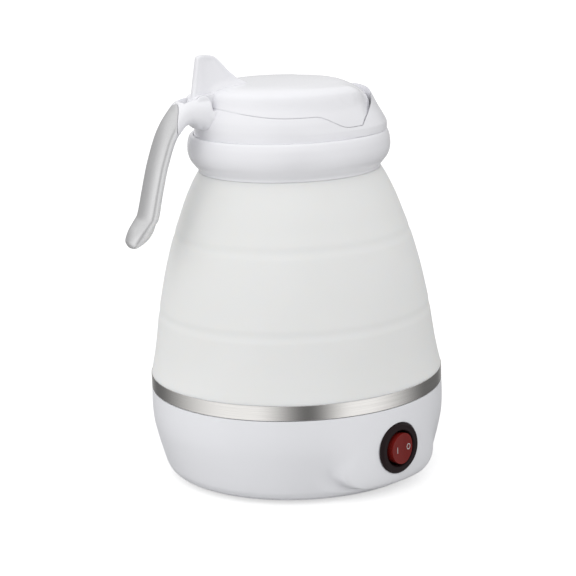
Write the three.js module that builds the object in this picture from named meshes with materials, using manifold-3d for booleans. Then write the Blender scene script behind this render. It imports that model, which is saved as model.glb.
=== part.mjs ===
// Collapsible travel kettle: a silicone wall between a heated base and a rigid collar with spout, lid and
// handle. Millimetres, +Z up, origin on the table below the upright axis, +X towards the spout and -X
// towards the handle.

import * as THREE from 'three';
import { mergeVertices } from 'three/addons/utils/BufferGeometryUtils.js';
import Module from 'manifold-3d';

const wasm = await Module();
wasm.setup();

// Driving dimensions
const bandDiameter = 130;
const baseHeight = 37.8;
const bandHeight = 7;
const bodyHeight = 89.5;
const neckDiameter = 79.6;
const clampDiameter = 88.6;
const clampHeight = 16;
const domeDiameter = 86.6;
const domeHeight = 22.5;
const lidFront = 34;
const lidCurveRadius = 50;
const handleReach = 37;
const handleDrop = 62;
const handleWidth = 17;
const handleThickness = 7.1;
const footProud = 1.2;
const gap = 0.3;
const overrun = 1;

// Directions round the upright axis, in degrees from the spout
const switchAngle = -73;
const inletAngle = 90;
const footAngle = 17;

// Studs are counted from the direction halfway between switch and inlet, so that none comes behind either
const studStart = (switchAngle + inletAngle) / 2;

// Heights and radii that several pieces share
const bandRadius = bandDiameter / 2;
const neckRadius = neckDiameter / 2;
const clampRadius = clampDiameter / 2;
const domeRadius = domeDiameter / 2;
const shellBottom = footProud;
const bandBottom = shellBottom + baseHeight;
const bandTop = bandBottom + bandHeight;
const clampBottom = bandTop + bodyHeight;
const clampTop = clampBottom + clampHeight;
const domeBottom = clampTop + gap;
const domeTop = domeBottom + domeHeight;

const degrees = Math.PI / 180;

// Facets round a turned piece, from the widest to the smallest
const wideFacets = 44;
const middleFacets = 36;
const narrowFacets = 26;
const roundFacets = 20;
const smallFacets = 8;

// Helpers that turn three.js geometry into closed solids, and join and cut them

// A closed solid from a geometry: positions only, shared vertices merged, slivers dropped, faces outwards
function solid(geometry) {
  const bare = new THREE.BufferGeometry();
  bare.setAttribute('position', geometry.getAttribute('position').clone());
  if (geometry.index) bare.setIndex(geometry.index.clone());
  const merged = mergeVertices(bare, 1e-4);
  const vertices = merged.getAttribute('position').array;
  const index = merged.index.array;
  const corner = (i) => new THREE.Vector3().fromArray(vertices, 3 * i);
  const triangles = [];
  let volume = 0;
  for (let i = 0; i < index.length; i += 3) {
    const [a, b, c] = [index[i], index[i + 1], index[i + 2]];
    if (a === b || b === c || c === a) continue;
    triangles.push(a, b, c);
    volume += corner(a).dot(corner(b).cross(corner(c)));
  }
  if (volume < 0) triangles.reverse();
  return new wasm.Manifold(new wasm.Mesh({
    numProp: 3,
    vertProperties: new Float32Array(vertices),
    triVerts: new Uint32Array(triangles),
  }));
}

const join = (first, ...others) => others.reduce((whole, next) => whole.add(next), first);
const cut = (first, ...others) => others.reduce((whole, next) => whole.subtract(next), first);
const common = (first, ...others) => others.reduce((whole, next) => whole.intersect(next), first);

// A named mesh from a solid
function piece(name, shape, material) {
  const { vertProperties, triVerts } = shape.getMesh();
  const geometry = new THREE.BufferGeometry();
  geometry.setAttribute('position', new THREE.BufferAttribute(new Float32Array(vertProperties), 3));
  geometry.setIndex(new THREE.BufferAttribute(new Uint32Array(triVerts), 1));
  const mesh = new THREE.Mesh(geometry, material);
  mesh.name = name;
  return mesh;
}

// Like pieces, each a mesh of its own, numbered from 1
const copies = (name, shapes, material) => shapes.map(
  (shape, i) => piece(`${name}_${i + 1}`, shape, material()));

// Places a geometry: turned about the upright axis by an angle in degrees after it is moved to x, y, z
function placed(geometry, x, y, z, angle = 0) {
  return geometry.translate(x, y, z).rotateZ(angle * degrees);
}

// An upright round bar, its axis at distance x from the upright axis in the direction of an angle
function bar(radius, bottom, top, x = 0, angle = 0, sides = roundFacets) {
  const geometry = new THREE.CylinderGeometry(radius, radius, top - bottom, sides).rotateX(Math.PI / 2);
  return solid(placed(geometry, x, 0, (bottom + top) / 2, angle));
}

// A block between two corners
function block(low, high, angle = 0) {
  const size = high.map((value, i) => value - low[i]);
  const middle = high.map((value, i) => (value + low[i]) / 2);
  return solid(placed(new THREE.BoxGeometry(...size), ...middle, angle));
}

// A body turned about the upright axis from an outline of [radius, height] points, closed on itself or on
// the axis
function turned(outline, segments) {
  const points = outline.map(([radius, height]) => new THREE.Vector2(radius, height));
  points.push(points[0].clone());
  return solid(new THREE.LatheGeometry(points, segments).rotateX(Math.PI / 2));
}

// A skin through rings of points; it loops back to the first ring, or is capped at both ends
function loft(rings, loops) {
  const count = rings[0].length;
  const points = rings.flat();
  const index = [];
  const last = loops ? rings.length : rings.length - 1;
  for (let i = 0; i < last; i++) {
    const here = i * count;
    const there = ((i + 1) % rings.length) * count;
    for (let j = 0; j < count; j++) {
      const next = (j + 1) % count;
      index.push(here + j, there + j, here + next, here + next, there + j, there + next);
    }
  }
  if (!loops) {
    for (const [ring, start, flip] of [[rings[0], 0, false], [rings.at(-1), points.length - count, true]]) {
      const middle = ring.reduce((sum, p) => sum.add(p), new THREE.Vector3()).divideScalar(count);
      points.push(middle);
      for (let j = 0; j < count; j++) {
        const edge = [start + j, start + (j + 1) % count];
        if (flip) edge.reverse();
        index.push(points.length - 1, ...edge);
      }
    }
  }
  return solid(new THREE.BufferGeometry().setFromPoints(points).setIndex(index));
}

// A turned body whose outline changes with the angle in degrees
function shaped(outlineAt, segments) {
  const rings = [];
  for (let i = 0; i < segments; i++) {
    const angle = 360 * i / segments;
    const [cos, sin] = [Math.cos(angle * degrees), Math.sin(angle * degrees)];
    rings.push(outlineAt(angle).map(
      ([radius, height]) => new THREE.Vector3(radius * cos, radius * sin, height)));
  }
  return loft(rings, true);
}

// Smooth rise from 0 to 1 as a value goes from one limit to another
const rise = (value, from, to) => THREE.MathUtils.smoothstep((value - from) / (to - from), 0, 1);

// Angle between two directions, from 0 to 180 degrees
const apart = (a, b) => Math.abs(THREE.MathUtils.euclideanModulo(a - b + 180, 360) - 180);

// Materials
const white = () => new THREE.MeshStandardMaterial({ color: 0xf0f0f5, roughness: 0.35, metalness: 0 });
const silicone = () => new THREE.MeshStandardMaterial({ color: 0xe8eaea, roughness: 0.6, metalness: 0 });
const silver = () => new THREE.MeshStandardMaterial({ color: 0xc9c9cc, roughness: 0.25, metalness: 0.9 });
const steel = () => new THREE.MeshStandardMaterial({ color: 0xc4c2bd, roughness: 0.3, metalness: 1 });
const aluminium = () => new THREE.MeshStandardMaterial({ color: 0xb4b6b8, roughness: 0.5, metalness: 1 });
const brass = () => new THREE.MeshStandardMaterial({ color: 0xc9a866, roughness: 0.35, metalness: 1 });
const black = () => new THREE.MeshStandardMaterial({ color: 0x241414, roughness: 0.4, metalness: 0 });
const red = () => new THREE.MeshStandardMaterial({ color: 0x8c1c1a, roughness: 0.15, metalness: 0 });
const rubber = () => new THREE.MeshStandardMaterial({ color: 0x9a9a9c, roughness: 0.9, metalness: 0 });
const ceramic = () => new THREE.MeshStandardMaterial({ color: 0xded6c4, roughness: 0.7, metalness: 0 });

const base = new THREE.Group();
const top = new THREE.Group();

// Base shell: one moulding with a lobe round the switch and another round the inlet, a shelf that carries
// the heating plate, a lip inside the steel band, and four screw bosses
const shellWall = 2.4;
const shelfThickness = 2.4;
const shelfDrop = 0.6;
const bandThickness = 0.8;
const lipWall = 2.7;
const coverThickness = 3;
const ledgeThickness = 2;
const ledgeWidth = 2.5;
const bossRadius = 3.2;
const pilotRadius = 1.6;
const bossCount = 4;
const lobeFadeAngle = 5;
const plateInset = 20.3;
const plateRadius = bandRadius - plateInset;
const lipOuter = bandRadius - bandThickness - gap;
const lipInner = lipOuter - lipWall;
const lipTop = bandTop - gap;
const shelfTop = bandBottom - shelfDrop;
const shelfBottom = shelfTop - shelfThickness;
const shelfHole = plateRadius + gap;
const bossCircle = plateRadius + gap + bossRadius + gap;
const coverRadius = bossCircle + bossRadius + gap;
const coverBottom = shellBottom;
const coverTop = coverBottom + coverThickness;
const ledgeBottom = coverTop + gap;
const ledgeTop = ledgeBottom + ledgeThickness;

// Height, radius of the round wall and radius at a lobe, as shares of the base's height and the band's
// radius, and the lobe's half angle, which narrows towards its rounded lower edge
const baseOutlineShares = [
  [0, 0.846, 0.846, 10],
  [0.01, 0.879, 0.879, 10],
  [0.07, 0.91, 0.937, 12],
  [0.127, 0.926, 0.986, 18],
  [0.3, 0.9535, 1.003, 26.5],
  [0.51, 0.9845, 1.0055, 28],
  [0.7, 1.003, 1.0065, 28],
  [1, 1, 1, 28],
];

const lobeWeight = (angle, half) => Math.max(...[switchAngle, inletAngle].map(
  (centre) => 1 - rise(apart(angle, centre), half - lobeFadeAngle / 2, half + lobeFadeAngle / 2)));

function baseWallAt(angle, inset) {
  return baseOutlineShares.map(([height, round, lobe, half]) => [
    bandRadius * (round + (lobe - round) * lobeWeight(angle, half)) - inset,
    shellBottom + baseHeight * height,
  ]);
}

const shellOuter = shaped((angle) => [
  [0, shellBottom],
  ...baseWallAt(angle, 0),
  [lipOuter, bandBottom],
  [lipOuter, lipTop],
  [0, lipTop],
], wideFacets);
const shellCavity = shaped((angle) => {
  const wall = baseWallAt(angle, shellWall).filter(([, height]) => height > ledgeTop && height < shelfBottom);
  return [[0, ledgeTop], [wall[0][0], ledgeTop], ...wall, [wall.at(-1)[0], shelfBottom], [0, shelfBottom]];
}, wideFacets);
const screwAngle = studStart + 360 / bossCount / 2;
const bosses = [];
const pilots = [];
for (let i = 0; i < bossCount; i++) {
  const angle = screwAngle + 360 * i / bossCount;
  bosses.push(bar(bossRadius, ledgeBottom, shelfBottom + shelfThickness / 2, bossCircle, angle, smallFacets));
  pilots.push(bar(pilotRadius, ledgeBottom - overrun, shelfBottom - overrun, bossCircle, angle, smallFacets));
}

// Heating plate: pressed dish whose flange and six welded studs clamp the foot of the silicone wall
const plateThickness = 0.8;
const plateDrop = 9.5;
const plateCorner = 2.4;
const footThickness = 3.5;
const flangeMargin = 3.7;
const studRadius = 1.5;
const studCount = 6;
const nutRadius = 3.1;
const nutSides = 6;
const nutHeight = 2.6;
const footBottom = shelfTop + gap;
const footTop = footBottom + footThickness;
const flangeBottom = footTop + gap;
const flangeTop = flangeBottom + plateThickness;
const footOuter = lipInner - gap;
const flangeRadius = footOuter - flangeMargin;
const floorBottom = flangeBottom - plateDrop;
const floorTop = floorBottom + plateThickness;
const studCircle = (plateRadius + flangeRadius) / 2 + studRadius / 2;
const nutTop = shelfBottom - gap;
const nutBottom = nutTop - nutHeight;
const studBottom = nutBottom - studRadius;
const studAngle = (i) => studStart + 360 * i / studCount;

// The dish's corner is an arc; its middle point lies this far inside the corner's square
const cornerInset = plateCorner * (1 - Math.SQRT1_2);
const cornerWall = plateThickness * Math.SQRT1_2;
const plateDish = turned([
  [0, floorBottom],
  [plateRadius - plateCorner, floorBottom],
  [plateRadius - cornerInset, floorBottom + cornerInset],
  [plateRadius, floorBottom + plateCorner],
  [plateRadius, flangeBottom],
  [flangeRadius, flangeBottom],
  [flangeRadius, flangeTop],
  [plateRadius - plateThickness, flangeTop],
  [plateRadius - plateThickness, floorBottom + plateCorner],
  [plateRadius - cornerInset - cornerWall, floorBottom + cornerInset + cornerWall],
  [plateRadius - plateCorner, floorTop],
  [0, floorTop],
], narrowFacets);
const studs = [];
const studHoles = [];
const nuts = [];
for (let i = 0; i < studCount; i++) {
  const angle = studAngle(i);
  studs.push(bar(studRadius, studBottom, flangeBottom + plateThickness / 2, studCircle, angle, smallFacets));
  studHoles.push(bar(studRadius + gap, nutBottom - overrun, flangeBottom, studCircle, angle, smallFacets));
  nuts.push(cut(
    bar(nutRadius, nutBottom, nutTop, studCircle, angle, nutSides),
    bar(studRadius + gap, nutBottom - overrun, nutTop + overrun, studCircle, angle, smallFacets)));
}

// Seat and hole of the round rocker switch, in a frame whose X points outwards through the switch
const bezelRadius = 11.6;
const bezelHeight = 1.8;
const barrelRadius = 9.8;
const barrelDepth = 17;
const switchHeightShare = 0.52;
const switchSunk = 0.8;
const switchZ = shellBottom + baseHeight * switchHeightShare;
const switchSeat = bandRadius - switchSunk;

// A round bar that lies along X at a height, between two distances from the upright axis
function lying(radius, from, to, height, sides = narrowFacets, sideways = 0) {
  const geometry = new THREE.CylinderGeometry(radius, radius, to - from, sides).rotateZ(Math.PI / 2);
  return geometry.translate((from + to) / 2, sideways, height);
}

const switchClear = bandRadius + overrun + bezelHeight;
const switchHole = solid(
  lying(barrelRadius + gap, switchSeat - barrelDepth, switchClear, switchZ).rotateZ(switchAngle * degrees));
const switchRecess = solid(
  lying(bezelRadius + gap, switchSeat, switchClear, switchZ).rotateZ(switchAngle * degrees));

// Seat, pad and hole of the mains inlet
const inletWidth = 31;
const inletTall = 24.5;
const inletFlange = 1.8;
const inletBodyWidth = 27;
const inletBodyTall = 19.8;
const inletDepth = 19;
const inletPad = 3;
const inletMargin = 2;
const inletSunk = 2.2;
const inletZ = switchZ;
const inletSeat = bandRadius - inletSunk;
const inletBlock = (from, to, width, tall) => block(
  [from, -width / 2, inletZ - tall / 2], [to, width / 2, inletZ + tall / 2], inletAngle);
const inletBacking = common(
  inletBlock(inletSeat - inletPad, bandRadius, inletWidth + 2 * inletMargin, inletTall + 2 * inletMargin),
  shellOuter);
const inletRecess = inletBlock(inletSeat, bandRadius + overrun + inletFlange, inletWidth + 2 * gap,
  inletTall + 2 * gap);
const inletHole = inletBlock(inletSeat - inletPad - overrun, bandRadius, inletBodyWidth + 2 * gap,
  inletBodyTall + 2 * gap);

const baseShell = cut(
  join(
    cut(
      shellOuter,
      shellCavity,
      bar(lipInner, shelfTop, lipTop + overrun, 0, 0, wideFacets),
      bar(shelfHole, shelfBottom - overrun, shelfTop + overrun, 0, 0, narrowFacets),
      bar(coverRadius + gap, shellBottom - overrun, ledgeBottom, 0, 0, middleFacets),
      bar(coverRadius - ledgeWidth, ledgeBottom - overrun, ledgeTop + overrun, 0, 0, middleFacets)),
    ...bosses,
    inletBacking),
  ...pilots,
  ...studHoles,
  switchHole,
  switchRecess,
  inletRecess,
  inletHole);
base.add(piece('base_shell', baseShell, white()));
base.add(piece('heating_plate', join(plateDish, ...studs), steel()));
base.add(...copies('plate_nut', nuts, steel));

// Bottom cover with recesses for four feet and four screw heads
const footRadius = 5;
const footRecess = 1.2;
const headRadius = 2.6;
const headHeight = 1.1;
const headRecess = 1.6;
const screwRadius = 1.3;
const screwLength = 9;
const footCircleShare = 0.82;
const footCircle = coverRadius * footCircleShare;
const recessTop = coverBottom + footRecess;
const coverCuts = [];
const feet = [];
const screws = [];
for (let i = 0; i < bossCount; i++) {
  const atFoot = footAngle + 360 * i / bossCount;
  const atScrew = screwAngle + 360 * i / bossCount;
  const headTop = coverBottom + headRecess - gap;
  coverCuts.push(
    bar(footRadius + gap, coverBottom - overrun, recessTop, footCircle, atFoot, 2 * smallFacets),
    bar(headRadius + gap, coverBottom - overrun, coverBottom + headRecess, bossCircle, atScrew, smallFacets),
    bar(screwRadius + gap, coverBottom, coverTop + overrun, bossCircle, atScrew, smallFacets));
  feet.push(bar(footRadius, 0, recessTop - gap, footCircle, atFoot));
  screws.push(join(
    bar(headRadius, headTop - headHeight, headTop, bossCircle, atScrew, smallFacets),
    bar(screwRadius, headTop - headHeight / 2, headTop + screwLength, bossCircle, atScrew, smallFacets)));
}
const bottomCover = cut(bar(coverRadius, coverBottom, coverTop, 0, 0, middleFacets), ...coverCuts);
base.add(piece('bottom_cover', bottomCover, white()));
base.add(...copies('rubber_foot', feet, rubber), ...copies('cover_screw', screws, steel));

// Steel trim band round the lip of the base shell, its edges rolled in
const bandRoll = 0.4;
const bandLow = bandBottom + gap;
const bandHigh = bandTop - gap;
const steelBand = turned([
  [bandRadius - bandThickness, bandLow],
  [bandRadius - bandRoll, bandLow],
  [bandRadius, bandLow + bandRoll],
  [bandRadius, bandHigh - bandRoll],
  [bandRadius - bandRoll, bandHigh],
  [bandRadius - bandThickness, bandHigh],
], wideFacets);
base.add(piece('steel_band', steelBand, steel()));

// Heat spreader, heating element, thermostat and thermal fuse under the plate
const spreaderThickness = 3;
const spreaderMargin = 4;
const elementRing = 27;
const elementTube = 3.2;
const elementGapAngle = 26;
const elementPin = 1;
const elementPinLength = 6;
const elementPinAngle = 3;
const thermostatRadius = 8.6;
const thermostatHeight = 8.6;
const thermostatFlange = 0.8;
const earOffset = 11.9;
const earRadius = 3;
const earScrewHead = 1.1;
const earScrewHeadRadius = 2.4;
const earScrewRadius = 1.2;
const bladeWidth = 6.3;
const bladeThickness = 0.8;
const bladeLength = 7.5;
const fuseRadius = 2;
const fuseLength = 11;
const fuseLead = 0.5;
const fuseOffset = 18.5;
const fuseAngle = inletAngle + 90;
const spreaderTop = floorBottom - gap;
const spreaderBottom = spreaderTop - spreaderThickness;
const spreaderRadius = plateRadius - spreaderMargin;
const elementZ = spreaderBottom - gap - elementTube;
const flangeUnder = spreaderBottom - gap - thermostatFlange;
const earAngles = [switchAngle, switchAngle + 180];

const arcPoints = [];
const arcSteps = 24;
for (let i = 0; i <= arcSteps; i++) {
  const angle = (inletAngle + elementGapAngle + (360 - 2 * elementGapAngle) * i / arcSteps) * degrees;
  arcPoints.push(new THREE.Vector3(elementRing * Math.cos(angle), elementRing * Math.sin(angle), elementZ));
}
const elementPath = new THREE.CatmullRomCurve3(arcPoints);
const roundSection = (radius, sides) => new THREE.Shape(
  Array.from({ length: sides }, (_, i) => new THREE.Vector2(
    radius * Math.cos(2 * Math.PI * i / sides), radius * Math.sin(2 * Math.PI * i / sides))));
const along = (path, radius, sides, steps) => solid(new THREE.ExtrudeGeometry(
  roundSection(radius, sides), { steps, extrudePath: path, curveSegments: 1 }));
const elementEnds = [inletAngle + elementGapAngle, inletAngle - elementGapAngle].map((angle) => bar(
  elementPin, elementZ - elementTube - elementPinLength, elementZ, elementRing,
  angle + Math.sign(angle - inletAngle) * elementPinAngle, smallFacets));
const heatingElement = join(along(elementPath, elementTube, smallFacets, arcSteps), ...elementEnds);
const earHoles = earAngles.map((angle) => bar(
  earScrewRadius + gap, spreaderBottom - overrun, spreaderTop - gap, earOffset, angle, smallFacets));
const heatSpreader = cut(bar(spreaderRadius, spreaderBottom, spreaderTop, 0, 0, narrowFacets), ...earHoles);
const thermostatBlades = [-1, 1].map((side) => block(
  [side * thermostatRadius / 2 - bladeWidth / 2, -bladeThickness / 2,
    flangeUnder - thermostatHeight - bladeLength],
  [side * thermostatRadius / 2 + bladeWidth / 2, bladeThickness / 2, flangeUnder - thermostatHeight / 2],
  inletAngle + 90));
const thermostat = cut(
  join(
    bar(thermostatRadius, flangeUnder - thermostatHeight, flangeUnder + thermostatFlange / 2, 0, 0,
      narrowFacets),
    bar(thermostatRadius + thermostatFlange, flangeUnder, flangeUnder + thermostatFlange, 0, 0,
      narrowFacets),
    ...earAngles.map((angle) => bar(
      earRadius, flangeUnder, flangeUnder + thermostatFlange, earOffset, angle, smallFacets)),
    ...thermostatBlades),
  ...earAngles.map((angle) => bar(
    earScrewRadius + gap, flangeUnder - overrun, spreaderBottom, earOffset, angle, smallFacets)));
const earHeadTop = flangeUnder - gap;
const earHeadBottom = earHeadTop - earScrewHead;
const earScrews = earAngles.map((angle) => join(
  bar(earScrewHeadRadius, earHeadBottom, earHeadTop, earOffset, angle, smallFacets),
  bar(earScrewRadius, earHeadTop - earScrewHead / 2, spreaderTop - 2 * gap, earOffset, angle, smallFacets)));
const fuseZ = spreaderBottom - gap - fuseRadius;
const fuseBar = (radius, half) => solid(placed(
  new THREE.CylinderGeometry(radius, radius, 2 * half, smallFacets), fuseOffset, 0, fuseZ, fuseAngle));
const thermalFuse = join(fuseBar(fuseRadius, fuseLength / 2), fuseBar(fuseLead, fuseLength));
base.add(piece('heat_spreader', heatSpreader, aluminium()));
base.add(piece('heating_element', heatingElement, steel()));
base.add(piece('thermostat', thermostat, ceramic()));
base.add(...copies('thermostat_screw', earScrews, steel));
base.add(piece('thermal_fuse', thermalFuse, ceramic()));

// Rocker switch: bezel and barrel, a rocker that turns on an upright pivot, and three blades at the back.
// It is modelled facing +X and turned into place with its group.
const rockerRadius = 7.4;
const rockerDepth = 7;
const rockerProud = 1.1;
const rockerTiltAngle = 7;
const barrelWall = 1.3;
const bezelSlope = 1.2;
const terminalLength = 8;
const terminalWidth = 4.8;
const terminalThickness = 0.8;
const terminalPitch = 6.4;
const bezelFace = switchSeat + gap + bezelHeight;
const barrelBack = switchSeat + gap - barrelDepth;
const pivotX = bezelFace - rockerDepth / 2;
const wellRadius = rockerRadius + 2 * gap;
const switchBodyOutline = [
  [0, barrelBack],
  [barrelRadius, barrelBack],
  [barrelRadius, switchSeat + gap],
  [bezelRadius, switchSeat + gap],
  [bezelRadius, bezelFace - bezelSlope],
  [bezelRadius - bezelSlope, bezelFace],
  [wellRadius + bezelSlope / 2, bezelFace],
  [wellRadius, bezelFace - bezelSlope],
  [wellRadius, barrelBack + barrelWall],
  [0, barrelBack + barrelWall],
];
// Stands a body turned about Z on its side, so that its axis lies along X at the switch's height
const faceOut = (outline, sides) => {
  const points = [...outline, outline[0]].map(([radius, height]) => new THREE.Vector2(radius, height));
  return new THREE.LatheGeometry(points, sides).rotateZ(-Math.PI / 2).translate(0, 0, switchZ);
};
const terminalAt = (side) => block(
  [barrelBack - terminalLength, side * terminalPitch - terminalThickness / 2, switchZ - terminalWidth / 2],
  [barrelBack + barrelWall - gap, side * terminalPitch + terminalThickness / 2, switchZ + terminalWidth / 2]);
const terminalSlot = (side) => block(
  [barrelBack - overrun, side * terminalPitch - terminalThickness / 2 - gap,
    switchZ - terminalWidth / 2 - gap],
  [barrelBack + barrelWall + overrun, side * terminalPitch + terminalThickness / 2 + gap,
    switchZ + terminalWidth / 2 + gap]);
const switchBody = cut(solid(faceOut(switchBodyOutline, narrowFacets)), ...[-1, 0, 1].map(terminalSlot));

// The rocker's face is two shallow slopes that meet at the pivot line; one side is pressed in at rest
const rockerBar = solid(lying(rockerRadius, pivotX - rockerDepth / 2, bezelFace + rockerProud, switchZ));
const rockerFace = (side) => {
  const slope = new THREE.BoxGeometry(4 * rockerProud, 4 * rockerRadius, 4 * rockerRadius)
    .translate(2 * rockerProud, 0, 0)
    .rotateZ(side * rockerTiltAngle * degrees);
  return solid(slope.translate(bezelFace + rockerProud - gap, 0, switchZ));
};
const rockerShape = cut(rockerBar, ...[-1, 1].map(rockerFace));
const rockerMesh = piece('switch_rocker', rockerShape, red());
rockerMesh.geometry.translate(-pivotX, 0, -switchZ);
rockerMesh.position.set(pivotX, 0, switchZ);
rockerMesh.rotation.z = rockerTiltAngle * degrees;
const switchGroup = new THREE.Group();
switchGroup.rotation.z = switchAngle * degrees;
switchGroup.add(
  piece('switch_body', switchBody, black()),
  rockerMesh,
  ...copies('switch_terminal', [-1, 0, 1].map(terminalAt), brass));
base.add(switchGroup);

// Mains inlet: a three pin socket with a shroud, modelled facing +X and turned into place with its group
const shroudWall = 1.6;
const socketDepth = 17;
const pinWidth = 2;
const pinTall = 4;
const pinLength = 10;
const pinTail = 7;
const pinSpread = 7;
const pinRise = 2;
const inletFace = inletSeat + gap + inletFlange;
const inletBack = inletFace - inletDepth;
const socketFloor = inletFace - socketDepth;
const inletBox = (from, to, width, tall, inset = 0) => block(
  [from, -width / 2 + inset, inletZ - tall / 2 + inset], [to, width / 2 - inset, inletZ + tall / 2 - inset]);
const pinPlaces = [[-1, -1], [0, 1], [1, -1]];
const pinBlock = (from, to, [side, up], grow) => block(
  [from, side * pinSpread - pinWidth / 2 - grow, inletZ + up * pinRise - pinTall / 2 - grow],
  [to, side * pinSpread + pinWidth / 2 + grow, inletZ + up * pinRise + pinTall / 2 + grow]);
const inletHousing = cut(
  join(
    inletBox(inletSeat + gap, inletFace, inletWidth, inletTall),
    inletBox(inletBack, inletFace - inletFlange / 2, inletBodyWidth, inletBodyTall)),
  inletBox(socketFloor, inletFace + overrun, inletBodyWidth, inletBodyTall, shroudWall),
  ...pinPlaces.map((place) => pinBlock(inletBack - overrun, socketFloor + overrun, place, gap)));
const inletPins = pinPlaces.map((place) => pinBlock(inletBack - pinTail, socketFloor + pinLength, place, 0));
const inletGroup = new THREE.Group();
inletGroup.rotation.z = inletAngle * degrees;
inletGroup.add(piece('inlet_housing', inletHousing, black()), ...copies('inlet_pin', inletPins, brass));
base.add(inletGroup);

// Silicone wall: a flat foot under the plate's flange, a flared skirt over the band, two fold lines where the
// wall is thin, and a bead that the clamp ring holds
const siliconeWall = 2.2;
const foldNotch = 0.45;
const foldThin = 0.8;
const foldHalf = 1.6;
const neckWall = 2.2;
const neckStep = 2.2;
const beadHeight = 3;
const beadReach = 3.7;
const neckTuck = 3.7;
const footHole = plateRadius + 3 * gap;
const skirtBottom = bandTop;
const bodyTop = clampBottom - gap;
const neckOuter = neckRadius - neckStep;
const beadBottom = clampBottom + neckTuck + gap;
const beadTop = beadBottom + beadHeight;
const beadRadius = neckOuter + beadReach;

// Height as a share of the wall that shows, and how far its radius lies from the neck's to the band's,
// from the foot of the skirt to the neck
const bodyOutlineShares = [
  [0, 0.99],
  [0.06, 0.944],
  [0.13, 0.888],
  [0.21, 0.856],
  [0.31, 0.808],
  [0.4, 0.745],
  [0.5, 0.67],
  [0.6, 0.578],
  [0.69, 0.483],
  [0.77, 0.38],
  [0.86, 0.26],
  [0.95, 0.111],
  [1, 0.005],
];
const foldShares = [0.31, 0.69];

const bodyPoints = bodyOutlineShares.map(([height, reach]) => new THREE.Vector2(
  neckRadius + (bandRadius - neckRadius) * reach, skirtBottom + (bodyTop - skirtBottom) * height));
const foldHeights = foldShares.map((share) => skirtBottom + (bodyTop - skirtBottom) * share);
const nearFold = (height) => Math.max(
  0, ...foldHeights.map((fold) => 1 - Math.abs(height - fold) / foldHalf));

// Radius of the outer surface at a height, straight between the outline's points
function bodyRadiusAt(height) {
  const i = Math.max(1, bodyPoints.findIndex((point) => point.y >= height));
  const [low, high] = [bodyPoints[i - 1], bodyPoints[i]];
  return low.x + (high.x - low.x) * (height - low.y) / (high.y - low.y);
}
const foldEdges = foldHeights.flatMap((fold) => [fold - foldHalf, fold, fold + foldHalf]);
const bodyHeights = [...bodyPoints.map((point) => point.y).filter((y) => nearFold(y) === 0), ...foldEdges]
  .sort((a, b) => a - b);
const outerSide = bodyHeights.map((y) => [bodyRadiusAt(y) - foldNotch * nearFold(y), y]);
const innerSide = bodyHeights
  .filter((y, i) => y > skirtBottom + siliconeWall && y < bodyTop - neckWall
    && (nearFold(y) > 0 || i % 2 === 0))
  .map((y) => [bodyRadiusAt(y) - siliconeWall + foldThin * nearFold(y), y]);
const siliconeBody = cut(
  turned([
    [footHole, footBottom],
    [footOuter, footBottom],
    [footOuter, skirtBottom],
    ...outerSide,
    [neckOuter, bodyTop],
    [neckOuter, beadBottom],
    [beadRadius, beadBottom],
    [beadRadius, beadTop],
    [neckOuter - neckWall, beadTop],
    [neckOuter - neckWall, bodyTop],
    ...innerSide.reverse(),
    [flangeRadius + flangeMargin - siliconeWall / 2, skirtBottom],
    [flangeRadius + gap, flangeTop + gap],
    [flangeRadius + gap, footTop],
    [footHole, footTop],
  ], middleFacets),
  ...studHoles);
base.add(piece('silicone_body', siliconeBody, silicone()));

// Clamp ring round the neck
const clampWall = 2.7;
const clampLedge = clampBottom + neckTuck;
const clampInner = clampRadius - clampWall;
// Height as a share of the ring's height, and how far its radius lies from the neck's to the ring's largest
const clampOutlineShares = [
  [0, 0],
  [0.08, 0.05],
  [0.2, 0.42],
  [0.35, 0.8],
  [0.55, 1],
  [0.78, 0.97],
  [0.93, 0.82],
  [1, 0.6],
];
const clampRing = turned([
  ...clampOutlineShares.map(([height, reach]) => [
    neckRadius + (clampRadius - neckRadius) * reach, clampBottom + clampHeight * height]),
  [clampInner, clampTop],
  [clampInner, clampLedge],
  [neckOuter + gap, clampLedge],
  [neckOuter + gap, clampBottom],
], middleFacets);
top.add(piece('clamp_ring', clampRing, white()));

// Dome that the collar and the lid share. Height, radius at the spout and radius at the fuller back as shares
// of the dome's, and the share of the waist's depth by which the collar is drawn in at its sides and back
const domeOutlineShares = [
  [0, 1, 1, 1],
  [0.098, 0.994, 0.995, 1],
  [0.213, 0.972, 0.984, 0.86],
  [0.32, 0.942, 0.961, 0.64],
  [0.409, 0.914, 0.931, 0.45],
  [0.511, 0.886, 0.905, 0.41],
  [0.613, 0.86, 0.876, 0.36],
  [0.711, 0.832, 0.86, 0.3],
  [0.77, 0.81, 0.848, 0],
  [0.83, 0.765, 0.825, 0],
  [0.88, 0.7, 0.79, 0],
  [0.929, 0.6, 0.72, 0],
  [0.965, 0.43, 0.58, 0],
  [0.985, 0.2, 0.36, 0],
];
const backFromAngle = 60;
const backToAngle = 125;
const waistDepth = 2.2;
const waistFromAngle = 42;
const waistToAngle = 84;
const shoulderShare = 0.4;
const domeAt = (angle, waist, inset) => domeOutlineShares.map(([height, front, back, drawn]) => {
  const radius = front + (back - front) * rise(apart(angle, 0), backFromAngle, backToAngle);
  return [
    domeRadius * radius - waist * drawn * rise(apart(angle, 0), waistFromAngle, waistToAngle) - inset,
    domeBottom + domeHeight * height - (height > shoulderShare ? inset * height : 0),
  ];
});

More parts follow.
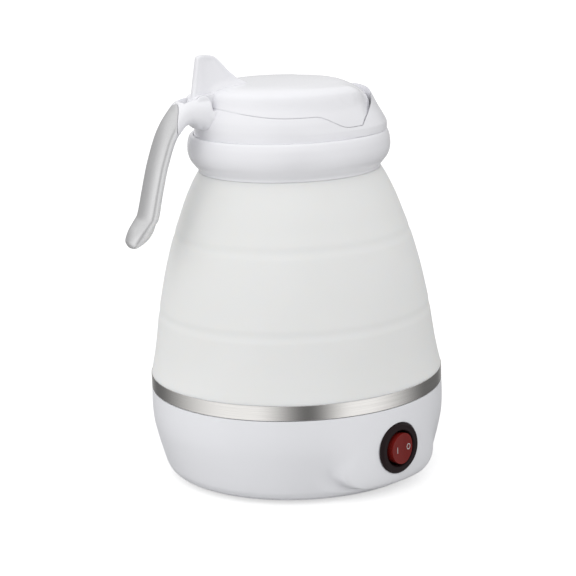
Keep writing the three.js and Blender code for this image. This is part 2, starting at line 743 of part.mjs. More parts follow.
// The lid's outline is the dome's, sloping down behind the rim of the spout
const lidDropShare = 0.204;
const lidDropFromShare = 0.35;
const lidDropPower = 2.5;
const lidAt = (angle, inset) => domeAt(angle, 0, inset).map(([radius, height]) => {
  const reach = radius * Math.cos(angle * degrees) / lidFront;
  const share = THREE.MathUtils.clamp((reach - lidDropFromShare) / (1 - lidDropFromShare), 0, 1);
  return [radius, height - domeHeight * lidDropShare * share ** lidDropPower];
});

// Lid outline: a large arc at the front, and a lower edge that dips at the two front corners
const lidSlot = 1.6;
const lidCornerSlot = 1.2;
const deckGap = 0.4;
const lidEdgeShare = 0.45;
const lidRiseShare = 0.13;
const lidDipShare = 0.245;
const edgeOutsideShare = 0.88;
const edgeInsideShare = 0.82;
const lidRiseAngles = [112, 170];
const lidDipAngles = [74, 97];
const lidEdgeHeight = domeHeight * lidEdgeShare;
const lidCentre = lidFront - lidCurveRadius;
const edgeOutside = domeRadius * edgeOutsideShare;
const edgeInside = domeRadius * edgeInsideShare;
const lidEdgeAt = (angle) => domeBottom + lidEdgeHeight
  + domeHeight * lidRiseShare * rise(apart(angle, 0), ...lidRiseAngles)
  - domeHeight * lidDipShare * (1 - rise(apart(angle, 0), ...lidDipAngles));
const lidTool = (drop) => shaped((angle) => [
  [0, domeBottom + lidEdgeHeight - drop],
  [edgeInside, domeBottom + lidEdgeHeight - drop],
  [edgeOutside, lidEdgeAt(angle) - drop],
  [domeRadius + clampRadius, lidEdgeAt(angle) - drop],
  [domeRadius + clampRadius, domeTop + domeHeight],
  [0, domeTop + domeHeight],
], middleFacets);
const frontArc = (centre, radius, bottom) => solid(placed(
  new THREE.CylinderGeometry(radius, radius, 2 * domeHeight, wideFacets).rotateX(Math.PI / 2),
  centre, 0, bottom + domeHeight));

// Collar: spigot inside the clamp ring, drawn-in waist, deck under the lid, and the spout rim at the front
const spigotWall = 3.4;
const mouthRadius = 33;
const mouthTaper = 4;
const mouthLip = 2.8;
const spoutWall = 2.4;
const channelStart = 12;
const channelHalf = 26;
const channelDrop = 1.5;
const spigotOuter = clampInner - gap;
const spigotInner = spigotOuter - spigotWall;
const spigotBottom = beadTop + gap;
const mouthTop = domeBottom + lidEdgeHeight;
const taperTop = mouthTop - mouthLip;
// The slot in front of the lid narrows towards the lid's corners, so its arc has a smaller radius
const slotShiftShare = 0.7;
const slotCentre = lidCentre + lidSlot + (lidSlot - lidCornerSlot) * slotShiftShare;
const slotRadius = lidFront + lidSlot - slotCentre;
const collarOuter = (grow, segments) => shaped((angle) => [
  [0, spigotBottom - grow],
  [spigotOuter + grow, spigotBottom - grow],
  [spigotOuter + grow, domeBottom - grow],
  ...domeAt(angle, waistDepth, -grow),
  [0, domeTop + grow],
], segments);
const collarBore = turned([
  [0, spigotBottom - overrun],
  [spigotInner, spigotBottom - overrun],
  [spigotInner, taperTop - mouthTaper],
  [mouthRadius, taperTop],
  [mouthRadius, domeTop + overrun],
  [0, domeTop + overrun],
], narrowFacets);
const channelBottom = taperTop - mouthTaper - channelDrop;
const pourChannel = common(
  shaped((angle) => {
    const wall = domeAt(angle, 0, spoutWall).filter(([, height]) => height > channelBottom);
    return [[0, channelBottom], [wall[0][0], channelBottom], ...wall, [0, domeTop - spoutWall]];
  }, middleFacets),
  block([channelStart, -channelHalf, domeBottom], [bandRadius, channelHalf, domeTop]));

// Handle: rings across it from its root at the collar to its toe. Each row gives the inner and the outer edge
// as shares of the handle's reach and drop, and the width as a share of the handle's
const handleRootX = 40;
const handleBelowDome = 5.3;
const handleTopZ = domeTop - handleBelowDome;
const handleRowShares = [
  [-0.12, 0.2, -0.12, 0.01, 1.3],
  [0.08, 0.19, 0.08, 0, 1.14],
  [0.157, 0.163, 0.276, 0.024, 1.03],
  [0.232, 0.177, 0.378, 0.084, 1],
  [0.303, 0.216, 0.465, 0.145, 1],
  [0.365, 0.266, 0.532, 0.211, 1],
  [0.416, 0.333, 0.592, 0.293, 1],
  [0.461, 0.41, 0.641, 0.377, 1],
  [0.501, 0.486, 0.683, 0.456, 1],
  [0.567, 0.643, 0.751, 0.615, 1],
  [0.62, 0.785, 0.815, 0.765, 1],
  [0.657, 0.826, 0.87, 0.816, 0.965],
  [0.692, 0.884, 0.938, 0.865, 0.9],
  [0.746, 0.929, 0.981, 0.913, 0.8],
  [0.816, 0.963, 0.997, 0.948, 0.66],
  [0.881, 0.985, 0.97, 0.982, 0.42],
];
const handleSides = 16;
function handleLoft(rows, inset) {
  const rings = rows.map(([innerX, innerZ, outerX, outerZ, width]) => {
    const inner = new THREE.Vector3(-handleRootX - handleReach * innerX, 0, handleTopZ - handleDrop * innerZ);
    const outer = new THREE.Vector3(-handleRootX - handleReach * outerX, 0, handleTopZ - handleDrop * outerZ);
    const middle = inner.clone().add(outer).divideScalar(2);
    const half = outer.clone().sub(inner).divideScalar(2);
    const thick = half.length();
    half.setLength(Math.max(thick - inset, inset / 2));
    const wide = Math.max(handleWidth / 2 * width - inset, inset / 2);
    return Array.from({ length: handleSides }, (_, i) => {
      const turn = 2 * Math.PI * i / handleSides;
      const sideways = new THREE.Vector3(0, wide * Math.sin(turn), 0);
      return middle.clone().addScaledVector(half, Math.cos(turn)).add(sideways);
    });
  });
  return loft(rings, false);
}

// Lid hinge: a knuckle on the lid between two ears of the handle's root, on a steel pin
const pinRadius = 1.3;
const pinPlay = 0.25;
const knuckleRadius = 3.2;
const knuckleHalf = 4.65;
const earClear = 0.4;
const earFront = 3.1;
const pinBehindRoot = 1.5;
const pinBelowTop = 1.6;
const pinX = -handleRootX - pinBehindRoot;
const pinZ = handleTopZ - pinBelowTop;
const lidOpeningAngle = 70;
const across = (radius, half, sides = roundFacets) => solid(
  new THREE.CylinderGeometry(radius, radius, 2 * half, sides).translate(pinX, 0, pinZ));

// The pin goes in from one side; its hole is blind at the other
const earInside = knuckleHalf + earClear;
const pinSeat = 1;
const pinHalf = earInside + pinSeat;
const pinHole = solid(
  new THREE.CylinderGeometry(pinRadius + pinPlay, pinRadius + pinPlay, 2 * handleWidth, smallFacets)
    .translate(pinX, handleWidth - pinHalf - gap, pinZ));

// Groove that the thumb tab lies in when the lid is open: a half space turned with the opening angle
const tabLeanAngle = 9.5;
const tabGroove = solid(new THREE.BoxGeometry(domeHeight, 2 * earInside, 2 * domeHeight)
  .translate(domeHeight / 2 - knuckleRadius - earClear, 0, domeHeight)
  .rotateY((tabLeanAngle - lidOpeningAngle) * degrees)
  .translate(pinX, 0, pinZ));
const handleScrewRadius = 1.4;
const handleScrewHead = 2.7;
const handleScrewHeight = 1.6;
const handleScrewLength = 12;
const handleScrewSide = 5.5;
const handleScrewShare = 0.68;
const screwSeatWall = 2.6;
const handleScrewZ = domeBottom + lidEdgeHeight * handleScrewShare;
const screwSeatX = -mouthRadius - screwSeatWall;
const handleScrewAt = (side, radius, from, to, sides) => solid(
  lying(radius, from, to, handleScrewZ, sides, side * handleScrewSide));

const handleSplitShare = 0.325;
const handleSplitX = -handleRootX - handleReach * handleSplitShare;
const gripWall = 1.3;
const gripTipRows = 3;
const wide = domeRadius + bandRadius;
const beyondSplit = block([-2 * wide, -wide, 0], [handleSplitX - gap / 2, wide, 2 * domeTop]);
const insideSplit = block([handleSplitX + gap / 2, -wide, 0], [0, wide, 2 * domeTop]);
const handleSkin = handleLoft(handleRowShares, 0);
const spineRows = handleRowShares.slice(1, -gripTipRows);
const handleBracket = cut(
  join(common(handleSkin, insideSplit), handleLoft(spineRows, gripWall + gap)),
  collarOuter(gap, middleFacets),
  block([pinX + earFront, -wide, lidEdgeAt(180) - 3 * deckGap], [0, wide, domeTop]),
  across(knuckleRadius + earClear, earInside),
  block([pinX - knuckleRadius - earClear, -earInside, pinZ], [0, earInside, domeTop]),
  block([pinX, -earInside, lidEdgeAt(180) - deckGap], [0, earInside, domeTop]),
  tabGroove,
  pinHole,
  ...[-1, 1].map((side) => handleScrewAt(side, handleScrewRadius + gap,
    screwSeatX - handleScrewLength - gap, screwSeatX, smallFacets)));
const handleGrip = cut(common(handleSkin, beyondSplit), handleLoft(spineRows, gripWall));
top.add(piece('handle_bracket', handleBracket, white()));
top.add(piece('handle_grip', handleGrip, silver()));
top.add(piece('hinge_pin', across(pinRadius, pinHalf, smallFacets), steel()));
const handleScrews = [-1, 1].map((side) => {
  const headFrom = screwSeatX + gap;
  return join(
    handleScrewAt(side, handleScrewHead, headFrom, headFrom + handleScrewHeight, smallFacets),
    handleScrewAt(side, handleScrewRadius, screwSeatX - handleScrewLength, headFrom + handleScrewHeight / 2,
      smallFacets));
});
top.add(...copies('handle_screw', handleScrews, steel));

const collar = cut(
  collarOuter(0, middleFacets),
  common(lidTool(deckGap), frontArc(slotCentre, slotRadius, domeBottom)),
  collarBore,
  pourChannel,
  ...[-1, 1].flatMap((side) => [
    handleScrewAt(side, handleScrewRadius + gap, -domeRadius - overrun, overrun - mouthRadius, smallFacets),
    handleScrewAt(side, handleScrewHead + gap, screwSeatX, 2 * overrun - mouthRadius, smallFacets)]));
top.add(piece('collar', collar, white()));

// Lid: domed shell with a thumb tab and a hinge knuckle
const lidWall = 2.2;
const tabRidge = 1.3;
// Height as a share of the tab's height, back and front edge as shares of its length, half width at the back
const tabRowShares = [
  [0, 0, 1, 1],
  [0.3, 0, 0.88, 1],
  [0.44, 0, 0.735, 0.98],
  [0.61, 0, 0.56, 0.95],
  [0.72, 0, 0.467, 0.92],
  [0.83, 0, 0.376, 0.87],
  [0.935, 0, 0.28, 0.78],
  [1, 0.024, 0.18, 0.55],
];
const tabHeightShare = 0.87;
const tabHeight = domeHeight * tabHeightShare;
const tabLength = 25;
const tabSteps = 6;
const tabRings = tabRowShares.map(([height, back, front, width]) => {
  const leaning = pinX - knuckleRadius + tabHeight * height * Math.tan(tabLeanAngle * degrees);
  const side = Array.from({ length: tabSteps + 1 }, (_, i) => {
    const share = i / tabSteps;
    const half = tabRidge + (knuckleHalf * width - tabRidge) * (1 - share) ** 2;
    return [leaning + tabLength * (back + (front - back) * share), half];
  });
  return [...side, ...side.map(([x, y]) => [x, -y]).reverse()].map(
    ([x, y]) => new THREE.Vector3(x, y, pinZ + tabHeight * height));
});
const lidDome = shaped((angle) => [[0, domeBottom], ...lidAt(angle, 0), [0, domeTop]], middleFacets);
const lidHollow = common(
  shaped((angle) => [
    [0, domeBottom - overrun],
    [domeRadius - lidWall, domeBottom - overrun],
    ...lidAt(angle, lidWall).filter((_, i) => i % 2 === 0),
    [0, domeTop - lidWall],
  ], middleFacets),
  frontArc(lidCentre, lidCurveRadius - lidWall, domeBottom - overrun));
const lidArm = block(
  [pinX, -knuckleHalf, lidEdgeAt(180)],
  [pinX + knuckleRadius + tabRidge + lidWall, knuckleHalf, pinZ + knuckleRadius]);
const lid = cut(
  join(
    cut(common(lidDome, lidTool(0), frontArc(lidCentre, lidCurveRadius, domeBottom)), lidHollow),
    cut(join(loft(tabRings, false), lidArm), cut(lidHollow, block(
      [pinX, -wide, 0], [pinX + knuckleRadius, wide, domeTop]))),
    across(knuckleRadius, knuckleHalf)),
  across(pinRadius + pinPlay, wide, smallFacets));
top.add(piece('lid', lid, white()));

// Lid liner: a disc under the dome with a short plug into the mouth, and a seal in the plug's groove
const linerThickness = 1.6;
const plugClear = 1.6;
const plugDepth = 5.5;
const plugWall = 1.8;
const sealRadius = 1.1;
const plugOuter = mouthRadius - plugClear;
const linerBottom = mouthTop + gap;
const linerTop = linerBottom + linerThickness;
const plugBottom = linerBottom - plugDepth;
const sealZ = (linerBottom + plugBottom) / 2;
const linerRadius = Math.min(edgeInside - gap, lidFront - lidWall - 2 * gap);
const lidLiner = turned([
  [0, linerBottom],
  [plugOuter - plugWall, linerBottom],
  [plugOuter - plugWall, plugBottom],
  [plugOuter, plugBottom],
  [plugOuter, sealZ - sealRadius],
  [plugOuter - sealRadius, sealZ - sealRadius],
  [plugOuter - sealRadius, sealZ + sealRadius],
  [plugOuter, sealZ + sealRadius],
  [plugOuter, linerBottom],
  [linerRadius, linerBottom],
  [linerRadius, linerTop],
  [0, linerTop],
], narrowFacets);
const sealSides = 6;
const lidSeal = turned(Array.from({ length: sealSides }, (_, i) => {
  const turn = 2 * Math.PI * i / sealSides;
  const thick = sealRadius - gap;
  return [plugOuter + gap / 2 + thick * Math.cos(turn), sealZ + thick * Math.sin(turn)];
}), narrowFacets);
top.add(piece('lid_liner', lidLiner, white()));
top.add(piece('lid_seal', lidSeal, silicone()));

const kettle = new THREE.Group();
kettle.add(base, top);

export default kettle;
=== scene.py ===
from math import atan2, cos, degrees, pi, radians, sin, sqrt, tan

import bmesh
import bpy
from mathutils import Matrix, Vector


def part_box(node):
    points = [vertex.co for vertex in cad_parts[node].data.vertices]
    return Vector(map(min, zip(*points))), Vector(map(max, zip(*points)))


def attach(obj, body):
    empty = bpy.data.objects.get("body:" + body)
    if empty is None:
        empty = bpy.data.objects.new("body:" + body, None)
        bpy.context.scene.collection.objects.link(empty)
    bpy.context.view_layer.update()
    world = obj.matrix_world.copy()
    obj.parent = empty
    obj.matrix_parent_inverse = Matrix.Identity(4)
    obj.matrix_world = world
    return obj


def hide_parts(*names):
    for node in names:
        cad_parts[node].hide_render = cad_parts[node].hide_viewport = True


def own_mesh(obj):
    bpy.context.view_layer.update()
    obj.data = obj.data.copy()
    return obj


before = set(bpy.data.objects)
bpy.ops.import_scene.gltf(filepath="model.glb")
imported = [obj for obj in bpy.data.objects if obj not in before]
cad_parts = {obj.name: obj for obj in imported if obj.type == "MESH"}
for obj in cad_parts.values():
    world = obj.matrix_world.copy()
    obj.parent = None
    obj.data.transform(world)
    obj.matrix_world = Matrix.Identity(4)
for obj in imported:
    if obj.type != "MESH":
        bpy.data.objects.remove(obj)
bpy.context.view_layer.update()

scene = bpy.context.scene
mm = 0.001
weld = 0.003 * mm
upright = Vector((0, 0, 1))


# Base shell
# One white moulding that carries everything: a swelling wall with a lobe round the switch and one round
# the inlet, a lip inside the steel band and a shelf for the heating plate. Its mould is polished.
class Maths:
    """A shader socket that takes part in Python sums."""

    def __init__(self, finish, socket):
        self.finish = finish
        self.socket = socket

    def sum(self, operation, *values):
        return self.finish.node("ShaderNodeMath", {"operation": operation}, dict(enumerate(values)))

    def __add__(self, other):
        return self.sum("ADD", self, other)

    def __sub__(self, other):
        return self.sum("SUBTRACT", self, other)

    def __rsub__(self, other):
        return self.sum("SUBTRACT", other, self)

    def __mul__(self, other):
        return self.sum("MULTIPLY", self, other)

    __radd__ = __add__
    __rmul__ = __mul__

    def rise(self, low, high):
        """Smooth rise from 0 to 1 as the value goes from low to high."""
        return self.finish.node("ShaderNodeMapRange", {"interpolation_type": "SMOOTHSTEP"},
                                {"Value": self, "From Min": low, "From Max": high})


class Nodes:
    """Adds nodes to an empty shader tree."""

    def __init__(self, tree):
        self.tree = tree
        tree.nodes.clear()

    def node(self, kind, settings, values, output=0):
        added = self.tree.nodes.new(kind)
        for key, value in settings.items():
            setattr(added, key, value)
        for key, value in values.items():
            self.feed(added.inputs[key], value)
        return Maths(self, added.outputs[output])

    def ray(self, kind):
        return self.node("ShaderNodeLightPath", {}, {}, f"Is {kind} Ray")

    def feed(self, socket, value):
        if isinstance(value, Maths):
            self.tree.links.new(value.socket, socket)
        else:
            socket.default_value = value


class Finish(Nodes):
    """A surface finish in the making; surface() feeds its main shader."""

    def __init__(self, name):
        self.material = bpy.data.materials.new(name)
        self.material.use_nodes = True
        super().__init__(self.material.node_tree)
        self.shader = self.tree.nodes.new("ShaderNodeBsdfPrincipled")
        output = self.tree.nodes.new("ShaderNodeOutputMaterial")
        self.tree.links.new(self.shader.outputs[0], output.inputs[0])

    def noise(self, scale, detail=2, stretch=(1, 1, 1)):
        place = self.node("ShaderNodeTexCoord", {}, {}, "Object")
        stretched = self.node("ShaderNodeMapping", {}, {"Vector": place, "Scale": stretch})
        return self.node("ShaderNodeTexNoise", {}, {"Vector": stretched, "Scale": scale, "Detail": detail})

    def blend(self, share, first, second):
        """Mixes two colours, each given as red, green and blue."""
        return self.node("ShaderNodeMix", {"data_type": "RGBA"},
                         {0: share, 6: (*first, 1), 7: (*second, 1)}, 2)

    def bump(self, height, depth):
        return self.node("ShaderNodeBump", {}, {"Height": height, "Distance": depth})

    def surface(self, **values):
        for key, value in values.items():
            self.feed(self.shader.inputs[key.replace("_", " ")], value)
        return self.material


def moulded(name, colour, shade, roughness, grain=0.01 * mm, gloss=0.5):
    """Moulded plastic: faint flow marks in colour and gloss, and the fine grain of its mould."""
    finish = Finish(name)
    flow = finish.noise(22)
    fine = finish.noise(2200)
    return finish.surface(
        Base_Color=finish.blend(flow.rise(0.35, 0.7), colour, shade),
        Roughness=roughness + (fine - 0.5) * 0.1 + (flow - 0.5) * 0.06,
        Specular_IOR_Level=gloss,
        Normal=finish.bump(fine, grain))


def clipped(value):
    """The value, held between 0 and 1."""
    return min(max(value, 0), 1)


def rise(value, low, high):
    """Smooth rise from 0 to 1 as a value goes from low to high."""
    share = clipped((value - low) / (high - low))
    return share * share * (3 - 2 * share)


def polar(radius, angle, height=0.0):
    """A point at a distance from the kettle's axis, in a direction in degrees."""
    return Vector((radius * cos(radians(angle)), radius * sin(radians(angle)), height))


def apart(first, second):
    """Angle between two directions, from 0 to 180 degrees."""
    return abs((first - second + 180) % 360 - 180)


def smooth_line(points, steps=5):
    """A smooth curve through the rows of a table, with steps spans between two rows."""
    found = []
    for i in range(len(points) - 1):
        near = [Vector(points[min(max(k, 0), len(points) - 1)]) for k in range(i - 1, i + 3)]
        for step in range(steps):
            t = step / steps
            found.append(0.5 * (2 * near[1] + (near[2] - near[0]) * t
                                + (2 * near[0] - 5 * near[1] + 4 * near[2] - near[3]) * t * t
                                + (3 * near[1] - near[0] - 3 * near[2] + near[3]) * t ** 3))
    return found + [Vector(points[-1])]


def softened(corners):
    """A closed profile from (radius, height) corners; one with a third number is rounded by that much."""
    found = []
    for i, corner in enumerate(corners):
        point = Vector(corner[:2])
        if len(corner) < 3:
            found.append(point)
            continue
        back = Vector(corners[i - 1][:2]) - point
        ahead = Vector(corners[(i + 1) % len(corners)][:2]) - point
        reach = min(corner[2], 0.3 * back.length, 0.3 * ahead.length)
        start, end = point + reach * back.normalized(), point + reach * ahead.normalized()
        found.append(point + 1.5 * reach * back.normalized())
        for t in (0, 0.33, 0.67, 1):
            found.append((1 - t) ** 2 * start + 2 * t * (1 - t) * point + t * t * end)
        found.append(point + 1.5 * reach * ahead.normalized())
    return found


def turned(profile, steps=240, closed=True):
    """A body turned about the upright axis, from its profile's corners or a function that gives them for a
    direction. The points are spun as level rings, each at the height of its own number, and every ring is
    then put where the profile has it."""
    corners_at = profile if callable(profile) else lambda angle: profile
    mesh = bmesh.new()
    column = [mesh.verts.new((1, 0, i)) for i in range(len(softened(corners_at(0))))]
    edges = [mesh.edges.new(pair) for pair in zip(column, column[1:])]
    if closed:
        edges.append(mesh.edges.new((column[-1], column[0])))
    bmesh.ops.spin(mesh, geom=column + edges, cent=(0, 0, 0), axis=(0, 0, 1), angle=2 * pi, steps=steps,
                   use_merge=True)
    profiles = {}
    for vert in mesh.verts:
        turn = atan2(vert.co.y, vert.co.x)
        step = round(turn / (2 * pi) * steps) % steps
        if step not in profiles:
            profiles[step] = softened(corners_at(360 * step / steps))
        radius, height = profiles[step][round(vert.co.z)]
        vert.co = (radius * cos(turn), radius * sin(turn), height)
    bmesh.ops.remove_doubles(mesh, verts=mesh.verts, dist=weld)
    bmesh.ops.dissolve_degenerate(mesh, edges=mesh.edges, dist=weld)
    bmesh.ops.recalc_face_normals(mesh, faces=mesh.faces)
    return mesh


def moved(mesh, matrix):
    bmesh.ops.transform(mesh, verts=mesh.verts, matrix=matrix)
    return mesh


def made(mesh, name):
    """An object from a bmesh."""
    data = bpy.data.meshes.new(name)
    mesh.to_mesh(data)
    mesh.free()
    piece = bpy.data.objects.new(name, data)
    scene.collection.objects.link(piece)
    return piece


def dressed(piece, material, slot, body, *nodes, sharp=32):
    """Gives the piece its finish and smooth shading; it rides on a body and stands for CAD nodes."""
    piece.data.materials.clear()
    piece.data.materials.append(material)
    piece.data.shade_smooth()
    piece.data.set_sharp_from_angle(angle=radians(sharp))
    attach(piece, body)
    if nodes:
        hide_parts(*nodes)
    return piece


def applied(piece):
    """The piece with its modifiers worked into its mesh."""
    bpy.context.view_layer.update()
    found = bpy.data.meshes.new_from_object(piece.evaluated_get(bpy.context.evaluated_depsgraph_get()))
    piece.modifiers.clear()
    piece.data = found
    return piece


def combined(piece, operation, *others):
    """Joins the other objects to the piece, or cuts them from it, and removes them."""
    for other in others:
        modifier = piece.modifiers.new("with", "BOOLEAN")
        modifier.operation = operation
        modifier.solver = "EXACT"
        modifier.object = other
        applied(piece)
        bpy.data.objects.remove(other)
    return piece


def bar(radius, start, end, sides=64):
    """A round bar between two points."""
    mesh = bmesh.new()
    start, end = Vector(start), Vector(end)
    along = end - start
    bmesh.ops.create_cone(mesh, cap_ends=True, segments=sides, radius1=radius, radius2=radius,
                          depth=along.length)
    return made(moved(mesh, Matrix.Translation((start + end) / 2)
                      @ along.to_track_quat("Z", "Y").to_matrix().to_4x4()), "bar")


def block(low, high, rounding=0.0):
    """A block between two corners, its edges rounded."""
    mesh = bmesh.new()
    low, high = Vector(low), Vector(high)
    bmesh.ops.create_cube(mesh, size=1)
    bmesh.ops.scale(mesh, verts=mesh.verts, vec=high - low)
    bmesh.ops.translate(mesh, verts=mesh.verts, vec=(low + high) / 2)
    if rounding:
        bmesh.ops.bevel(mesh, geom=mesh.edges, offset=rounding, segments=3, affect="EDGES", profile=0.5,
                        material=-1)
    return made(mesh, "block")


gap = 0.3 * mm
band_low, band_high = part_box("steel_band")
band_radius = band_high.x
band_bottom = band_low.z - gap
band_top = band_high.z + gap
shell_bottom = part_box("base_shell")[0].z
base_height = band_bottom - shell_bottom
cover_low, cover_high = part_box("bottom_cover")
cover_radius = cover_high.x
shell_wall = 2.4 * mm
lip_outer = band_radius - 1.1 * mm
lip_inner = lip_outer - 2.7 * mm
lip_top = band_high.z
shelf_top = band_bottom - 0.6 * mm
shelf_bottom = shelf_top - shell_wall
shelf_hole = 45 * mm
ledge_bottom = cover_high.z + gap
ledge_top = ledge_bottom + 2 * mm
ledge_radius = cover_radius - 2.5 * mm
switch_angle = -73
inlet_angle = 90

# Height, radius of the round wall and radius at a lobe, as shares of the base's height and the band's
# radius, and the lobe's half angle in degrees
base_rows = smooth_line([
    (0, 0.846, 0.846, 4), (0.012, 0.876, 0.876, 4), (0.045, 0.9, 0.9, 5), (0.068, 0.909, 0.93, 10),
    (0.088, 0.916, 0.96, 15), (0.12, 0.9245, 0.982, 19), (0.18, 0.935, 0.994, 23.5),
    (0.28, 0.951, 1.001, 27), (0.42, 0.972, 1.004, 29), (0.6, 0.994, 1.005, 29.8),
    (0.75, 1.0015, 1.0045, 30), (0.88, 1.0018, 1.003, 30), (1, 1, 1, 30),
], 7)

# A lobe's edge fades, more so up its flank, over a short valley. Heights are shares of the base's, and
# widths are in degrees.
crease_fade, flank_fade = 1.6, 9
flank_heights = 0.2, 0.85
valley_depth = 0.6 * mm
valley_starts, valley_ends = (0.05, 0.1), (0.12, 0.52)
valley_flank, valley_width = 2, 9


def base_wall(angle, inset=0.0):
    """The base's outer wall in one direction. A lobe's edge is a crease beside a shallow valley at the
    foot, and fades upwards."""
    near = min(apart(angle, middle) for middle in (switch_angle, inlet_angle))
    found = []
    for height, plain, lobe, half in base_rows:
        fade = crease_fade + flank_fade * rise(height, *flank_heights)
        share = 1 - rise(near, half - 2 * fade, half + 0.6 * fade)
        deepest = half + valley_flank
        valley = rise(height, *valley_starts) * (1 - rise(height, *valley_ends))
        valley *= rise(near, half - valley_flank, deepest)
        valley *= 1 - rise(near, deepest, deepest + valley_width)
        found.append((band_radius * (plain + (lobe - plain) * share) - valley_depth * valley - inset,
                      shell_bottom + base_height * height))
    return found


def base_profile(angle):
    inner = [point for point in base_wall(angle, shell_wall)[::-2] if ledge_top < point[1] < shelf_bottom]
    return [
        (cover_radius + gap, shell_bottom, 0.3 * mm), *base_wall(angle)[:-1],
        (band_radius, band_bottom, 0.35 * mm), (lip_outer, band_bottom),
        (lip_outer, lip_top, 0.3 * mm), (lip_inner, lip_top, 0.3 * mm),
        (lip_inner, shelf_top), (shelf_hole, shelf_top, 0.3 * mm), (shelf_hole, shelf_bottom, 0.3 * mm),
        (inner[0][0], shelf_bottom), *inner, (inner[-1][0], ledge_top),
        (ledge_radius, ledge_top, 0.3 * mm), (ledge_radius, ledge_bottom),
        (cover_radius + gap, ledge_bottom)]


# The switch sits in a round seat in its lobe, and the inlet in a square one in the lobe at the side
housing_low, housing_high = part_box("inlet_housing")
inlet_middle = Vector((0, 0, (housing_low.z + housing_high.z) / 2))
inlet_half = Vector((housing_high.x, 0, (housing_high.z - housing_low.z) / 2))
inlet_seat = housing_high.y - 2.1 * mm
socket_half = Vector((13.5 * mm, 0, 9.9 * mm))
switch_out = polar(1, switch_angle)
switch_seat = 64.2 * mm
bezel_radius = 11.1 * mm
barrel_radius = 9.8 * mm
margin = Vector((gap, 0, gap))
barrel_hole_start, socket_hole_start = 44 * mm, 50 * mm
past_wall = 72 * mm


def switch_bar(radius, start, end):
    """A bar along the switch's axis, between two distances from the kettle's axis."""
    return bar(radius, inlet_middle + start * switch_out, inlet_middle + end * switch_out, 96)


def inlet_block(half, start, end, rounding=0.0):
    """A block along the inlet's axis, between two distances from the kettle's axis."""
    low, high = inlet_middle - half, inlet_middle + half
    return block((low.x, start, low.z), (high.x, end, high.z), rounding)


shell_plastic = moulded("white_plastic", (0.84, 0.845, 0.875), (0.82, 0.825, 0.855), 0.33)
base_shell = combined(
    made(turned(base_profile, 360), "base_moulding"), "DIFFERENCE",
    switch_bar(barrel_radius + gap, barrel_hole_start, past_wall),
    switch_bar(bezel_radius + gap, switch_seat, past_wall),
    inlet_block(socket_half + margin, socket_hole_start, past_wall),
    inlet_block(inlet_half + margin, inlet_seat, past_wall))
dressed(base_shell, shell_plastic, "white_plastic", "base", "base_shell")


# Steel band
# A trim hoop of thin stainless sheet round the lip, its edges rolled in. It is brushed round the hoop, so
# its highlights are drawn out upwards.
def brushed(name, colour, roughness, stretch=(1, 1, 1), depth=0.004 * mm, contrast=0.12):
    """Metal with fine scratches that run across the stretched directions."""
    finish = Finish(name)
    scratches = finish.noise(900, 3, stretch)
    darker = [0.93 * value for value in colour]
    return finish.surface(
        Base_Color=finish.blend(scratches.rise(0.3, 0.8), colour, darker),
        Metallic=1.0,
        Roughness=roughness + (scratches - 0.5) * contrast,
        Normal=finish.bump(scratches, depth))


steel = (0.78, 0.765, 0.745)
band_steel = brushed("band_steel", steel, 0.16, (0.04, 0.04, 3))
band_wall = 0.8 * mm
steel_band = made(turned([
    (band_radius - band_wall, band_low.z), (band_radius, band_low.z, 0.5 * mm),
    (band_radius, band_high.z, 0.5 * mm), (band_radius - band_wall, band_high.z)], 288), "band_hoop")
dressed(steel_band, band_steel, "stainless_steel", "base", "steel_band")


# Heating plate
# A shallow dish pressed from stainless sheet, its flange clamping the foot of the silicone wall. Six studs
# are welded under it; their nuts draw it down on the shelf. The dish is brushed in rings.
plate_low, plate_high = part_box("heating_plate")
plate_wall = 0.8 * mm
dish_depth = 9.5 * mm
stud_radius = 1.5 * mm
flange_radius = plate_high.x
flange_top = plate_high.z
floor_bottom = flange_top - plate_wall - dish_depth
dish_radius = 44.7 * mm
stud_circle = (dish_radius + flange_radius) / 2 + 0.75 * mm
stud_start = (switch_angle + inlet_angle) / 2
plate_steel = brushed("plate_steel", steel, 0.3, (1, 1, 0.05), contrast=0.2)
plate = made(turned([
    (0, floor_bottom), (dish_radius, floor_bottom, 2.4 * mm),
    (dish_radius, flange_top - plate_wall, 0.6 * mm),
    (flange_radius, flange_top - plate_wall), (flange_radius, flange_top, 0.3 * mm),
    (dish_radius - plate_wall, flange_top, 1.2 * mm),
    (dish_radius - plate_wall, floor_bottom + plate_wall, 1.9 * mm), (0, floor_bottom + plate_wall)],
    192, closed=False), "plate_dish")
for i in range(6):
    foot = polar(stud_circle, stud_start + 60 * i, plate_low.z)
    stud = bar(stud_radius, foot, foot + (flange_top - plate_wall / 2 - foot.z) * upright, 32)
    combined(plate, "UNION", stud)
dressed(plate, plate_steel, "stainless_steel", "base", "heating_plate")


# Heater and fasteners
# Under the plate a die-cast spreader holds the sheathed heating rod, with the thermostat and fuse against
# it. These pieces, the nuts and the cover's screws are bought in, so they keep their plain stock shapes.
def numbered(name, count):
    return [f"{name}_{i + 1}" for i in range(count)]


zinc_plate = brushed("zinc_plate", (0.66, 0.66, 0.65), 0.32)
stock_nodes = (
    (zinc_plate, ["heating_element", *numbered("thermostat_screw", 2), *numbered("plate_nut", 6),
                  *numbered("cover_screw", 4)]),
    (brushed("cast_aluminium", (0.72, 0.73, 0.74), 0.45, depth=0.02 * mm), ["heat_spreader"]),
    (brushed("brass", (0.8, 0.62, 0.34), 0.3, (1, 1, 3)),
     [*numbered("switch_terminal", 3), *numbered("inlet_pin", 3)]),
    (moulded("steatite", (0.78, 0.74, 0.66), (0.7, 0.66, 0.58), 0.6, 0.05 * mm),
     ["thermostat", "thermal_fuse"]),
)
for finish, names in stock_nodes:
    for name in names:
        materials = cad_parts[name].data.materials
        materials.clear()
        materials.append(finish)


